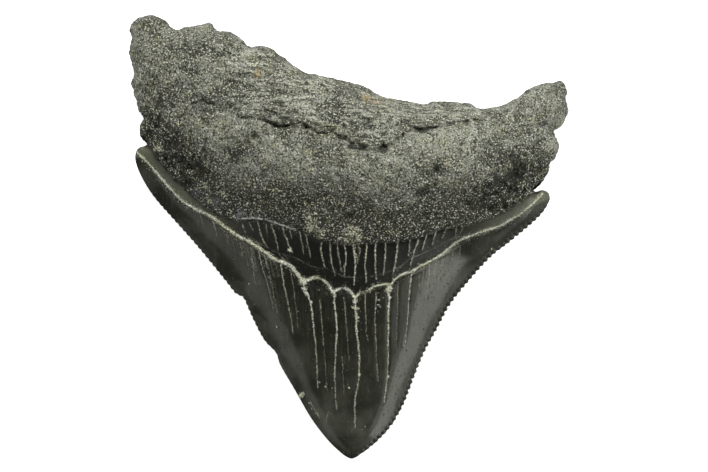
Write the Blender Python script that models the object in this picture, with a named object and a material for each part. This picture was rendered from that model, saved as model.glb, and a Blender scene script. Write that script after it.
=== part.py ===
"""A fossil megalodon tooth lying on its flat labial face, with the bulging lingual face up.

+X runs across the tooth, from the longer root lobe to the shorter one. +Y runs from the tip of the
crown to the root, and +Z is up. The origin is on the surface that the tooth lies on, under the
middle of its box. The tooth grew as one piece, so it is one solid.
"""

import bmesh
import bpy
import numpy as np
from mathutils import Matrix, Vector, noise

MM = 0.001
TOOTH_WIDTH = 55.0 * MM
PLAN_WIDTH = 440.0
UNIT = TOOTH_WIDTH / PLAN_WIDTH
NODE_NAME = "megalodon_tooth"

# The plan, seen from above, in units of an eighth of a millimetre from the middle of the tooth's box.
# The cutting edges run up from the tip to the shoulders.
LEFT_EDGE = [(-5, -218), (-14, -210), (-24, -199), (-38, -180), (-54, -152), (-68, -128), (-72, -116),
             (-84, -103), (-96, -80), (-105, -60), (-112, -57), (-124, -42), (-150, -10), (-173, 16),
             (-194, 40), (-206, 59), (-212, 73), (-213, 80)]
RIGHT_EDGE = [(13, -217), (21, -211), (34, -199), (44, -187), (51, -175), (57, -163), (66, -139),
              (76, -115), (89, -91), (102, -67), (121, -43), (143, -19), (162, -4), (186, 16),
              (197, 28), (202, 38)]
# The shoulders run from the end of the neck line to the notch under the root.
LEFT_SHOULDER = [(-213, 80), (-212, 86), (-208, 90), (-203, 91), (-200, 94)]
RIGHT_SHOULDER = [(202, 38), (201, 43), (198, 46), (193, 47), (188, 45), (185, 47)]
# The sides of the root run from the notch to the top corner of each lobe.
LEFT_LOBE = [(-200, 94), (-203, 98), (-208, 101), (-209, 107), (-207, 113), (-205, 119), (-209, 127),
             (-215, 145), (-217, 152), (-214, 165), (-219, 182), (-217, 197), (-218, 207), (-215, 214),
             (-209, 219)]
RIGHT_LOBE = [(185, 47), (188, 51), (195, 56), (200, 65), (203, 74), (208, 79), (210, 89), (209, 97),
              (206, 105), (210, 108), (216, 115), (220, 125), (220, 130), (218, 139), (219, 147),
              (216, 154)]
# The rows cross the tooth from left to right: round the tip, along the neck line where the enamel
# ends, along the lower margin of the root, and along the root's top edge.
TIP_ROW = [(-5, -218), (0, -221), (4, -222), (9, -220), (13, -217)]
NECK_ROW = [(-213, 80), (-198, 75), (-178, 50), (-148, 24), (-108, 1), (-68, -23), (-44, -44), (-15, -54),
            (8, -59), (44, -47), (63, -35), (92, -19), (122, -2), (152, 10), (180, 28), (202, 38)]
MARGIN_ROW = [(-200, 94), (-195, 87), (-188, 76), (-170, 56), (-148, 35), (-133, 25), (-116, 18), (-86, 18),
              (-67, 14), (-48, 7), (-30, -1), (-3, -6), (32, -5), (57, -3), (74, 1), (92, 7), (110, 11),
              (132, 16), (152, 23), (164, 29), (174, 37), (182, 42), (185, 47)]
TOP_ROW = [(-209, 219), (-200, 222), (-191, 220), (-184, 217), (-173, 208), (-167, 208), (-148, 212),
           (-140, 214), (-135, 212), (-131, 206), (-117, 205), (-108, 199), (-97, 189), (-84, 191),
           (-64, 179), (-51, 168), (-40, 164), (-14, 158), (12, 152), (34, 141), (62, 135), (76, 133),
           (90, 135), (118, 134), (132, 129), (152, 131), (167, 138), (182, 149), (200, 154), (212, 156),
           (216, 154)]
# The enamel reaches higher on the labial face, in a shallow bow.
LABIAL_NECK = [(-213, 84), (-190, 80), (-148, 60), (-80, 40), (0, 30), (80, 33), (140, 38), (190, 44),
               (202, 44)]

# Spot heights, each (x, y) in plan units and the height in millimetres above the resting surface.
LINGUAL_SPOTS = [
    (4, -208, 2.3), (4, -180, 3.3), (4, -150, 4.1), (5, -100, 5.0), (5, -60, 5.9),
    (-12, -180, 2.95), (24, -180, 2.95), (-28, -150, 3.3), (36, -150, 3.3), (-56, -100, 3.65),
    (52, -100, 3.65), (-76, -60, 3.85), (76, -60, 3.95), (-114, -18, 3.8), (112, -16, 4.2),
    (-168, 30, 3.75), (172, 14, 4.1), (-204, 70, 3.6), (196, 38, 4.0),
    (-142, 5, 3.75),
    (0, -32, 7.1), (0, -8, 8.2), (-80, 0, 6.5), (85, -2, 6.6), (-140, 33, 5.1), (140, 14, 5.75),
    (0, 20, 9.9), (-60, 30, 9.4), (70, 26, 9.6), (-110, 45, 8.2), (120, 36, 8.0),
    (0, 60, 13.0), (-60, 62, 12.4), (60, 60, 12.9), (110, 58, 11.2), (-110, 78, 10.8), (-150, 88, 8.4),
    (150, 74, 8.9), (-188, 112, 6.6), (194, 92, 6.8),
    (0, 88, 13.4), (40, 84, 13.4), (-60, 104, 12.5), (100, 98, 11.8), (-120, 126, 10.6),
    (0, 108, 12.2), (0, 130, 9.9), (0, 148, 7.4), (-60, 150, 9.9), (-60, 168, 7.8),
    (-100, 162, 9.6), (-150, 180, 8.0), (-196, 202, 6.4), (-198, 150, 6.9),
    (70, 116, 10.2), (76, 128, 7.8), (130, 112, 9.0), (130, 124, 7.2), (170, 122, 8.0), (204, 142, 6.2),
    (206, 118, 6.4),
]
RIM_SPOTS = [
    (4, -222, 1.7), (-54, -152, 1.75), (60, -152, 1.75), (-105, -60, 1.85), (105, -60, 1.85), (-163, 4, 2.4),
    (160, -5, 2.4), (-213, 84, 3.1), (202, 42, 3.1), (-208, 107, 3.3), (208, 85, 3.3), (-218, 190, 3.2),
    (219, 140, 3.0), (-150, 212, 3.6), (-50, 168, 4.0), (60, 135, 4.2), (150, 131, 3.8),
]
LABIAL_SPOTS = [
    (2, -205, 0.9), (0, -170, 0.3), (0, -120, -0.15), (-45, -120, 0.3), (45, -120, 0.3), (0, -60, 0.2),
    (-80, -45, 0.8), (80, -45, 0.8), (0, 0, 0.6), (-120, 15, 1.1), (120, 5, 1.1), (-200, 75, 2.0),
    (192, 38, 2.0), (0, 60, 1.1), (0, 120, 1.6), (-80, 90, 0.7), (80, 75, 0.7), (-150, 130, -0.5),
    (150, 95, -0.5), (-150, 180, 0.1), (-195, 190, 0.9), (-195, 120, 0.9), (195, 130, 0.9), (195, 80, 1.0),
    (-70, 165, 1.2), (80, 122, 1.4),
]

# The root's worn upper layer ends in a ledge. Above and below it lie thin beds, each a line with its
# depth in millimetres and its width in plan units.
LEDGE = [(-143, 134), (-123, 126), (-108, 119), (-86, 116), (-70, 110), (-48, 110), (-30, 103), (-8, 99),
         (2, 91), (20, 89), (37, 88), (52, 98), (64, 104), (80, 107), (97, 111), (120, 116)]
LEDGE_RISE, LEDGE_REACH, LEDGE_WIDTH = 0.55, 26.0, 3.5
BEDS = [
    ([(-143, 134), (-130, 131), (-119, 131), (-108, 130)], 0.4, 2.6),
    ([(-106, 128), (-87, 123), (-80, 125), (-64, 125)], 0.3, 2.4),
    ([(-87, 116), (-78, 112), (-67, 109), (-60, 110), (-51, 109)], 0.7, 2.8),
    ([(-34, 104), (-24, 102), (-12, 96)], 0.5, 2.4),
    ([(2, 89), (12, 88), (20, 87), (37, 88)], 0.95, 3.4),
    ([(-13, 111), (0, 110), (12, 110)], 0.4, 2.4),
    ([(64, 107), (72, 105), (79, 106)], 0.75, 3.0),
    ([(79, 106), (99, 110), (117, 115)], 0.55, 2.4),
    ([(2, 137), (13, 137)], 0.5, 2.4),
]
# Where the bone is rotten and porous, as (x, y, radius, share), and how deep its cavities go.
POROUS_PATCHES = [
    (-172, 82, 20, 1.0), (-150, 72, 20, 1.0), (-112, 84, 15, 0.9), (-165, 56, 15, 0.9), (-192, 112, 14, 0.8),
    (-140, 48, 14, 0.6), (164, 62, 20, 1.5), (148, 50, 14, 1.2), (142, 36, 16, 0.9), (120, 42, 12, 0.7),
    (88, 68, 12, 0.7), (74, 42, 10, 0.7), (-36, 36, 14, 0.5), (0, 22, 10, 0.6), (190, 68, 12, 0.8),
    (206, 105, 12, 0.6), (-206, 150, 14, 0.6), (19, 115, 9, 0.8), (-60, 112, 12, 0.5), (100, 90, 10, 0.4),
    (-185, 130, 10, 0.7), (-4, 104, 9, 1.0), (54, 99, 9, 0.9), (-44, 107, 6, 0.9), (-122, 130, 9, 0.6),
]
CAVITY_SIZE, CAVITY_DEPTH, CAVITY_STRETCH = 5.5, 0.55, (0.8, 1.4)
CAVITY_CRISPNESS = 3.2
FURROWS = [
    [(-176, 98), (-172, 88), (-168, 74)],
    [(-141, 98), (-145, 84), (-149, 70), (-147, 56)],
    [(-163, 74), (-165, 60), (-162, 46)],
    [(74, 47), (73, 40), (73, 34)],
    [(137, 42), (132, 26)],
    [(150, 40), (158, 24)],
]
FURROW_CUT, FURROW_CUT_WIDTH = 0.5, 4.0
# Each pit is (x, y, radius) in plan units and its depth in millimetres.
PITS = [
    (35, 87, 6, 0.9), (112, 92, 4, 0.5), (88, 67, 6, 0.7), (74, 42, 6, 0.6), (166, 61, 10, 1.2),
    (150, 54, 8, 0.8), (165, 44, 6, 0.7), (2, 22, 6, 0.6), (-108, 82, 12, 0.5), (-92, 99, 6, 0.4),
    (117, 37, 7, 0.5), (-41, 152, 4, 0.5), (12, 137, 5, 0.6), (-188, 132, 6, 0.6), (118, 115, 5, 0.5),
    (74, 106, 5, 0.5), (-146, 66, 7, 0.6), (-197, 104, 5, 0.5), (140, 104, 6, 0.3), (-55, 110, 6, 0.4),
]
LABIAL_PITS = [
    (-120, 150, 7, 0.5), (60, 90, 6, 0.5), (-40, 110, 9, 0.5), (140, 118, 6, 0.4), (-170, 110, 6, 0.4),
    (10, 75, 5, 0.5), (-90, 70, 5, 0.4), (110, 60, 7, 0.4),
]

# The root stands proud of the bourlette, and the enamel's edge stands a little proud of it too.
ROOT_STEP, ROOT_STEP_WIDTH = 0.75, 5.0
ENAMEL_STEP, ENAMEL_STEP_WIDTH = 0.2, 2.0
# The flanks of the blade follow smoother lines than its edges, chips and serrations left out.
LEFT_FLANK = [(4, -226), (-34, -186), (-70, -124), (-118, -50), (-160, 0), (-190, 36), (-214, 86)]
RIGHT_FLANK = [(4, -226), (42, -189), (72, -126), (108, -60), (158, -6), (186, 17), (206, 42)]
FLANK_BLEND = 14.0
# How far in from the outline each face takes to reach its full height, in plan units. On the blade,
# that bevel and the flatter strip along its edge change with the height up the crown.
BLADE_HEIGHTS = [-222, -200, -180, -150, -100, -60, -20, 20, 80]
BLADE_BEVELS = [9, 13, 18, 23, 30, 37, 42, 38, 26]
BLADE_STRIPS = [0, 0, 0, 1, 4, 6, 5, 4, 4]
STRIP_RISE, FLANK = 0.2, 0.5
LABIAL_BEVEL = 22.0
ROOT_ROUNDING = 20.0
LABIAL_ROUNDING = 22.0
LABIAL_STEP, LABIAL_ROUGHNESS = 0.25, 0.5

# Lumps, each as the size of a lump in plan units and its height in millimetres.
ROOT_LUMPS = [(34.0, 0.35), (13.0, 0.32), (6.0, 0.16)]
OUTLINE_LUMPS = (18.0, 1.2)
CROWN_LUMPS = (60.0, 0.06)
LUMP_SEED = 7.3

# Serrations, in plan units: the bite between two, how far it shows on the face, and along each edge,
# from the tip up, how much of each serration is left.
SERRATION_PITCH = 5.74
SERRATION_DEPTH = 2.7
SERRATION_REACH = 5.5
SERRATION_HEIGHT = 0.12
SERRATION_ROUNDNESS = 0.8
SERRATION_MIDDLE = 0.6
LEFT_WEAR = [(0.0, 0.0), (0.3, 0.08), (0.42, 0.35), (0.6, 0.4), (0.84, 0.3), (0.9, 0.05), (1.0, 0.0)]
RIGHT_WEAR = [(0.0, 0.2), (0.06, 0.8), (0.2, 1.0), (0.75, 1.0), (0.9, 0.8), (0.97, 0.2), (1.0, 0.0)]
# Everything below the line between the shoulders is blade.
SHOULDERS_X, SHOULDERS_Y = (-213, 202), (79, 37)

# The grid that the tooth is made from. Its columns stand closer at the sides, and its rows at the root's
# margin and top edge.
COLUMNS = 76
CROWN_ROWS, BOURLETTE_ROWS, ROOT_ROWS = 60, 6, 56
COLUMN_CROWDING, ROW_CROWDING = 0.4, 1.2
SERRATION_CUTS = 4
TRIANGLES = 9400
WELD_REACH = 0.01
CUT_SLACK = 1e-7
FAR_AWAY = 1e9


def smooth_line(points, steps=8):
    """A Catmull-Rom curve through the points, as an array of closely spaced points."""
    p = np.array(points, float)
    p = np.vstack([2 * p[0] - p[1], p, 2 * p[-1] - p[-2]])
    t = np.linspace(0, 1, steps, endpoint=False)[:, None]
    spans = [0.5 * (2 * b + (c - a) * t + (2 * a - 5 * b + 4 * c - d) * t**2 + (3 * b - a - 3 * c + d) * t**3)
             for a, b, c, d in zip(p, p[1:], p[2:], p[3:])]
    return np.vstack(spans + [p[-2:-1]])


def along(line, shares):
    """The points at these shares, 0 to 1, of the line's length."""
    lengths = np.concatenate([[0], np.cumsum(np.linalg.norm(np.diff(line, axis=0), axis=1))])
    at = np.asarray(shares) * lengths[-1]
    return np.column_stack([np.interp(at, lengths, line[:, i]) for i in (0, 1)])


def nearest(points, line):
    """For each point: how far the line is, how far along it that is, and the line's normal there."""
    starts, runs = line[:-1], np.diff(line, axis=0)
    lengths = np.linalg.norm(runs, axis=1)
    before = np.concatenate([[0], np.cumsum(lengths)[:-1]])
    far, place = np.full(len(points), FAR_AWAY), np.zeros(len(points))
    normal = np.zeros_like(points)
    for start, run, length, offset in zip(starts, runs, lengths, before):
        share = np.clip((points - start) @ run / length**2, 0, 1)
        gap = np.linalg.norm(points - start - share[:, None] * run, axis=1)
        closer = gap < far
        far[closer] = gap[closer]
        place[closer] = offset + share[closer] * length
        normal[closer] = np.array([run[1], -run[0]]) / length
    return far, place, normal


def signed(points, row):
    """Distance from a row that crosses the tooth: positive on the root's side of it."""
    line = smooth_line(row)
    above = points[:, 1] > np.interp(points[:, 0], line[:, 0], line[:, 1])
    return np.where(above, 1, -1) * nearest(points, line)[0]


def ease(value):
    """0 below 0 and 1 above 1, with a smooth rise between."""
    v = np.clip(value, 0, 1)
    return v * v * (3 - 2 * v)


def relief(spots, points):
    """Heights at the points, on the thin plate that passes through the spot heights."""
    spots = np.array(spots, float)
    scale = PLAN_WIDTH / 2

    def bend(a, b):
        square = ((a[:, None] - b[None]) ** 2).sum(axis=2)
        return square * np.log(np.maximum(square, np.finfo(float).tiny))

    xy = spots[:, :2] / scale
    flat = np.column_stack([np.ones(len(xy)), xy])
    system = np.block([[bend(xy, xy), flat], [flat.T, np.zeros((3, 3))]])
    weights = np.linalg.solve(system, np.concatenate([spots[:, 2], np.zeros(3)]))
    at = points / scale
    return np.column_stack([bend(at, xy), np.ones(len(at)), at]) @ weights


def lumps(points, size, layer=0.0):
    """Smooth random lumps of about this size, between -1 and 1."""
    return np.array([noise.noise(Vector((x / size, y / size, LUMP_SEED + layer))) for x, y in points])


def cut(points, line, width):
    """How much of a groove along the line reaches each point, from 1 in its bottom to 0 outside."""
    return np.exp(-((nearest(points, np.array(line, float))[0] / width) ** 2))


def pits(points, holes):
    """How deep the pits are at each point, in millimetres."""
    deep = np.zeros(len(points))
    for x, y, radius, depth in holes:
        away = np.hypot(points[:, 0] - x, points[:, 1] - y) / radius
        deep = np.maximum(deep, depth * np.exp(-(away**2)))
    return deep


def cavities(points):
    """How deep the cavities of the porous patches are at each point, in millimetres."""
    share = pits(points, POROUS_PATCHES)
    upright = points / CAVITY_STRETCH
    return CAVITY_DEPTH * share * ease(CAVITY_CRISPNESS * lumps(upright, CAVITY_SIZE, 11.0))


def outline():
    """The closed outline of the tooth, clockwise from the tip."""
    parts = [smooth_line(TIP_ROW)[::-1], smooth_line(LEFT_EDGE), smooth_line(LEFT_SHOULDER),
             smooth_line(LEFT_LOBE), smooth_line(TOP_ROW), smooth_line(RIGHT_LOBE)[::-1],
             smooth_line(RIGHT_SHOULDER)[::-1], smooth_line(RIGHT_EDGE)[::-1]]
    return np.vstack([part[:-1] for part in parts] + [parts[0][:1]])


def patch(bottom, top, left, right, columns, rows):
    """The places of a grid stretched between four curves."""
    c, r = columns[None, :, None], rows[:, None, None]
    low, high = along(bottom, columns)[None], along(top, columns)[None]
    west, east = along(left, rows)[:, None], along(right, rows)[:, None]
    corners = (1 - r) * ((1 - c) * bottom[0] + c * bottom[-1]) + r * ((1 - c) * top[0] + c * top[-1])
    return (1 - r) * low + r * high + (1 - c) * west + c * east - corners


def plan_grid():
    """The places of all grid points: the crown, the bourlette and the root, one above the other."""
    even = np.linspace(0, 1, COLUMNS + 1)
    crowded = (1 - np.cos(np.pi * even)) / 2
    columns = even + COLUMN_CROWDING * (crowded - even)
    tip, neck = smooth_line(TIP_ROW), smooth_line(NECK_ROW)
    margin, top = smooth_line(MARGIN_ROW), smooth_line(TOP_ROW)
    crown = patch(tip, neck, smooth_line(LEFT_EDGE), smooth_line(RIGHT_EDGE),
                  columns, np.linspace(0, 1, CROWN_ROWS + 1))
    bourlette = patch(neck, margin, smooth_line(LEFT_SHOULDER), smooth_line(RIGHT_SHOULDER),
                      columns, np.linspace(0, 1, BOURLETTE_ROWS + 1))
    root = patch(margin, top, smooth_line(LEFT_LOBE), smooth_line(RIGHT_LOBE),
                 columns, np.sin(np.linspace(0, 1, ROOT_ROWS + 1) * np.pi / 2) ** ROW_CROWDING)
    return np.vstack([crown, bourlette[1:], root[1:]])


def flat_tooth():
    """Two sheets with the tooth's outline, joined round it: the lingual one at z 1, the labial one at -1."""
    places = plan_grid()
    rows = len(places) - 1
    mesh = bmesh.new()
    bmesh.ops.create_grid(mesh, x_segments=COLUMNS, y_segments=rows, size=1.0)
    for vert in mesh.verts:
        column = round((vert.co.x + 1) / 2 * COLUMNS)
        row = round((vert.co.y + 1) / 2 * rows)
        on_rim = column in (0, COLUMNS) or row in (0, rows)
        vert.co = (*places[row, column], 0.0 if on_rim else 1.0)
    copied = bmesh.ops.duplicate(mesh, geom=mesh.verts[:] + mesh.edges[:] + mesh.faces[:])["geom"]
    back = [item for item in copied if isinstance(item, bmesh.types.BMFace)]
    bmesh.ops.reverse_faces(mesh, faces=back)
    for vert in {v for face in back for v in face.verts}:
        vert.co.z = -vert.co.z
    bmesh.ops.remove_doubles(mesh, verts=[v for v in mesh.verts if v.co.z == 0.0],
                             dist=WELD_REACH)
    return mesh


def split_cutting_edges(mesh):
    """Cuts each stretch of the cutting edges into short ones, so that serrations fit on them."""
    on_blade = []
    for edge in mesh.edges:
        ends = [vert.co for vert in edge.verts]
        at_rim = all(end.z == 0.0 for end in ends)
        if at_rim and all(end.y < np.interp(end.x, SHOULDERS_X, SHOULDERS_Y) for end in ends):
            on_blade.append(edge)
    bmesh.ops.subdivide_edges(mesh, edges=on_blade, cuts=SERRATION_CUTS - 1)


def serrations(points, edge, wear):
    """For each point by a cutting edge: its serration's bulge, the share left of it, and the way out."""
    line = smooth_line(edge)
    far, place, normal = nearest(points, line)
    length = np.linalg.norm(np.diff(line, axis=0), axis=1).sum()
    count = round(length / SERRATION_PITCH)
    bulge = np.abs(np.sin(np.pi * count * place / length)) ** SERRATION_ROUNDNESS - SERRATION_MIDDLE
    left = np.interp(place / length, *zip(*wear)) * ease(1 - far / SERRATION_REACH)
    return bulge, left, normal


def flank(gap, bevel, strip):
    """The blade's section by the distance from its edge: a flatter strip, a straight slope, a rounded top."""
    share = (gap - strip) / (bevel - strip)
    rise = 2 / (1 + FLANK)
    left = 1 - np.clip(share, FLANK, 1)
    slope = np.where(share < FLANK, rise * share, 1 - rise / (2 * (1 - FLANK)) * left**2)
    reached = STRIP_RISE * np.clip(strip, 0, 1)
    on_strip = reached * np.clip(gap / np.maximum(strip, 1), 0, 1)
    return np.where(gap < strip, on_strip, reached + (1 - reached) * slope)


def round_over(share):
    """A quarter circle: steep at the rim, and level from a share of 1."""
    return np.sqrt(np.clip(1 - (1 - np.clip(share, 0, 1)) ** 2, 0, 1))


def face_height(points, side, rim_gap):
    """Heights of the lingual (side 1) or labial (side -1) face, in millimetres."""
    margin = signed(points, MARGIN_ROW)
    rim = relief(RIM_SPOTS, points)
    rough = sum(height * lumps(points, size, size) for size, height in ROOT_LUMPS)
    crown_lumps = CROWN_LUMPS[1] * lumps(points, CROWN_LUMPS[0])
    if side > 0:
        on_root = ease(margin / ROOT_STEP_WIDTH + 0.5)
        height = relief(LINGUAL_SPOTS, points) + ROOT_STEP * on_root
        height += ENAMEL_STEP * ease(0.5 - signed(points, NECK_ROW) / ENAMEL_STEP_WIDTH)
        ledge = signed(points, LEDGE)
        height += LEDGE_RISE * ease(1 - np.abs(ledge) / LEDGE_REACH) * ease(ledge / LEDGE_WIDTH)
        beds = [depth * cut(points, line, width) for line, depth, width in BEDS]
        furrows = [FURROW_CUT * cut(points, line, FURROW_CUT_WIDTH) for line in FURROWS]
        hollows = np.maximum.reduce(beds + furrows + [pits(points, PITS), cavities(points)])
        height += on_root * (rough - hollows) + (1 - on_root) * crown_lumps
        bevels = smooth_line(list(zip(BLADE_HEIGHTS, BLADE_BEVELS)))
        sides = [nearest(points, smooth_line(line))[0] for line in (LEFT_FLANK, RIGHT_FLANK)]
        gap = rim_gap + ease(rim_gap / FLANK_BLEND) * (np.minimum(*sides) - rim_gap)
        strips = smooth_line(list(zip(BLADE_HEIGHTS, BLADE_STRIPS)))
        blade = flank(gap, np.interp(points[:, 1], *bevels.T), np.interp(points[:, 1], *strips.T))
        rounding = ROOT_ROUNDING
    else:
        on_root = ease(signed(points, LABIAL_NECK) / ROOT_STEP_WIDTH + 0.5)
        height = relief(LABIAL_SPOTS, points) + LABIAL_STEP * on_root
        height -= on_root * LABIAL_ROUGHNESS * rough - pits(points, LABIAL_PITS)
        blade = round_over(rim_gap / LABIAL_BEVEL)
        rounding = LABIAL_ROUNDING
    profile = on_root * round_over(rim_gap / rounding) + (1 - on_root) * blade
    return rim + (height - rim) * profile + side * on_root * rough * (1 - profile)


def raise_tooth(mesh):
    """Gives each point of the flat tooth its height, its serration and its lumps in the outline."""
    flat = np.array([vert.co for vert in mesh.verts])
    points, side = flat[:, :2].copy(), np.sign(flat[:, 2])
    rim_gap = nearest(points, outline())[0]
    rim_gap[side == 0] = 0.0
    lingual = face_height(points, 1, rim_gap)
    labial = face_height(points, -1, rim_gap)
    height = np.where(side < 0, labial, lingual)

    on_root = ease(signed(points, MARGIN_ROW) / ROOT_STEP_WIDTH)
    size, reach = OUTLINE_LUMPS
    by_rim = on_root * ease(1 - rim_gap / size)
    points[:, 0] += reach * by_rim * lumps(flat[:, :2], size / 2, 1.0)
    points[:, 1] += reach * by_rim * lumps(flat[:, :2], size / 2, 2.0)
    for edge, wear, out in ((LEFT_EDGE, LEFT_WEAR, -1), (RIGHT_EDGE, RIGHT_WEAR, 1)):
        bulge, left, normal = serrations(flat[:, :2], edge, wear)
        points += out * normal * (SERRATION_DEPTH * bulge * left)[:, None]
        height += side * SERRATION_HEIGHT * bulge * left
    for vert, (x, y), z in zip(mesh.verts, points, height):
        vert.co = (x * UNIT, y * UNIT, z * MM)


def thinned(shape):
    """The same shape with fewer triangles, larger ones where the surface is plain."""
    data = bpy.data.meshes.new("dense_tooth")
    shape.to_mesh(data)
    dense = bpy.data.objects.new("dense_tooth", data)
    bpy.context.scene.collection.objects.link(dense)
    thin = dense.modifiers.new("thin_plain_areas", "DECIMATE")
    thin.ratio = TRIANGLES / len(data.polygons)
    evaluated = dense.evaluated_get(bpy.context.evaluated_depsgraph_get())
    result = bmesh.new()
    result.from_mesh(evaluated.to_mesh())
    bpy.data.objects.remove(dense)
    return result


def cut_flat_below(shape):
    """Cuts off what reaches below the resting surface, and closes each cut with a flat face."""
    everything = shape.verts[:] + shape.edges[:] + shape.faces[:]
    cut_edges = bmesh.ops.bisect_plane(shape, geom=everything, dist=CUT_SLACK, plane_co=(0, 0, 0),
                                       plane_no=(0, 0, 1), clear_inner=True)["geom_cut"]
    rims = [item for item in cut_edges if isinstance(item, bmesh.types.BMEdge)]
    flats = bmesh.ops.contextual_create(shape, geom=rims)["faces"]
    for flat in flats:
        place = [round(value / MM, 2) for value in flat.calc_center_median()]
        print("flat spot at", place, "mm, area", round(flat.calc_area() / MM**2, 1), "mm2")
    bmesh.ops.recalc_face_normals(shape, faces=shape.faces[:])
    bmesh.ops.triangulate(shape, faces=shape.faces[:])


def centre(shape):
    """Moves the shape so that the origin is under the middle of its box."""
    corners = np.array([vert.co for vert in shape.verts])
    middle = (corners.min(axis=0) + corners.max(axis=0)) / 2
    bmesh.ops.transform(shape, matrix=Matrix.Translation((-middle[0], -middle[1], 0)), verts=shape.verts[:])


def tooth_material():
    """Dark grey fossil dentine and black enamel, as one plain colour."""
    material = bpy.data.materials.new("fossil_tooth")
    material.use_nodes = True
    shader = material.node_tree.nodes["Principled BSDF"]
    shader.inputs["Base Color"].default_value = (0.06, 0.06, 0.05, 1.0)
    shader.inputs["Roughness"].default_value = 0.55
    shader.inputs["Metallic"].default_value = 0.0
    return material


def main():
    for obj in list(bpy.data.objects):
        bpy.data.objects.remove(obj)
    shape = flat_tooth()
    split_cutting_edges(shape)
    raise_tooth(shape)
    bmesh.ops.triangulate(shape, faces=shape.faces[:])
    shape = thinned(shape)
    centre(shape)
    cut_flat_below(shape)
    data = bpy.data.meshes.new(NODE_NAME)
    shape.to_mesh(data)
    shape.free()
    data.materials.append(tooth_material())
    tooth = bpy.data.objects.new(NODE_NAME, data)
    collection = bpy.data.collections.new("megalodon_tooth_parts")
    bpy.context.scene.collection.children.link(collection)
    collection.objects.link(tooth)
    size = [round(side / MM, 2) for side in tooth.dimensions]
    print("triangles:", len(data.polygons), "size in mm:", size)


main()
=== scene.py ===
# %% [markdown]
# # A fossil megalodon tooth
#
# The tooth lies on a white table with its bulging lingual face up, seen from straight above. It is
# one grown piece: a black enamel crown with serrated cutting edges, a dark band above it called the
# bourlette, and a thick grey root like worn bone. The packed model holds its size and main forms. Here
# a finer skin takes its place, with the grain, the pores and the mineral-filled cracks of the real one.

# %% Load the frame
import math
import bmesh
import bpy
import numpy as np
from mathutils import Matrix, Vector, noise


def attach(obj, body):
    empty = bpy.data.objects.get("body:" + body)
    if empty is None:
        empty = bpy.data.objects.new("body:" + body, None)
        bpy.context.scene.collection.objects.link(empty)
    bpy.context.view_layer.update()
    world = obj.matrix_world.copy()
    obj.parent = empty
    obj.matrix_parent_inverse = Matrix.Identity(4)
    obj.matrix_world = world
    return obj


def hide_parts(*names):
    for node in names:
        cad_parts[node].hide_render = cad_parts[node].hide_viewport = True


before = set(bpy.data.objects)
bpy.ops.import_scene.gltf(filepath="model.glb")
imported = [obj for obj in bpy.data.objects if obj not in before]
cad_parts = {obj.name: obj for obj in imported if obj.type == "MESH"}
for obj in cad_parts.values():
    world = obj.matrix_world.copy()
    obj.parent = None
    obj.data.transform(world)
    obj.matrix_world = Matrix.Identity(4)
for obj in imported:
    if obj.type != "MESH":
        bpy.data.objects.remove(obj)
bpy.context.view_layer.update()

NODE = "megalodon_tooth"

# %% [markdown]
# ## Camera
#
# The tooth was shot from straight above with a long lens, so nothing leans outwards. A perspective
# camera far above does the same. The photograph is 708 pixels wide, and the serrations give its scale:
# an eighth of a millimetre for each pixel. The lens is then worked out from that width and the distance.

# %% Put the camera above the tooth
MM = 0.001
UNIT = 0.125 * MM
IMAGE_WIDTH, IMAGE_HEIGHT = 708, 472
TOOTH_MIDDLE = (348.5, 237.0)
CAMERA_RISE = 0.9
OUTLINE_RISE = 3 * MM

camera_data = bpy.data.cameras.new("camera_above")
camera_data.sensor_width = 36.0
camera_data.lens = camera_data.sensor_width * CAMERA_RISE / (IMAGE_WIDTH * UNIT)
camera_data.clip_end = 10.0
camera = bpy.data.objects.new("camera_above", camera_data)
camera.location = ((IMAGE_WIDTH / 2 - TOOTH_MIDDLE[0]) * UNIT,
                   (TOOTH_MIDDLE[1] - IMAGE_HEIGHT / 2) * UNIT, CAMERA_RISE + OUTLINE_RISE)
bpy.context.scene.collection.objects.link(camera)
bpy.context.scene.camera = camera
print("lens:", round(camera_data.lens), "mm")

# %% [markdown]
# ## Light
#
# Black enamel shows hardly any colour of its own. What the eye reads is what it mirrors: a softbox low
# on the right lights the right flank of the blade evenly grey, while the middle mirrors the dark room
# above. Two weak ones, higher on the right and low on the left, catch the strip along the right edge
# and the left wing. One more, towards the root, lights the rough bone and leaves its underside dim.

# %% Set up the softboxes
# Each softbox is its name, its place, its width and height in metres, and its power in watts.
SOFTBOXES = [
    ("softbox_above_root", (-0.02, 0.31, 0.355), 0.20, 0.14, 2.6),
    ("softbox_right", (0.385, -0.13, 0.125), 0.50, 0.19, 0.92),
    ("softbox_right_high", (0.27, -0.12, 0.26), 0.30, 0.13, 0.16),
    ("softbox_left_low", (-0.28, -0.28, 0.09), 0.45, 0.16, 0.16),
]


def add_softbox(name, place, width, height, power):
    """A rectangular light that faces the tooth."""
    data = bpy.data.lights.new(name, "AREA")
    data.shape = "RECTANGLE"
    data.size, data.size_y, data.energy = width, height, power
    box = bpy.data.objects.new(name, data)
    box.location = place
    box.rotation_euler = (-Vector(place)).to_track_quat("-Z", "Y").to_euler()
    bpy.context.scene.collection.objects.link(box)


for softbox in SOFTBOXES:
    add_softbox(*softbox)
print("softboxes:", len(SOFTBOXES))

# %% [markdown]
# ## Table and room
#
# The table is white and glows faintly, as a product table lit from below, so that the shadow nearly
# goes. The tooth doesn't mirror it, because its glow would turn the dark pores and the left wing grey.

# %% Set up the table and the room
TABLE_SIZE = 3.0
TABLE_GLOW = 0.95
ROOM_LIGHT = 0.09

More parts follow.
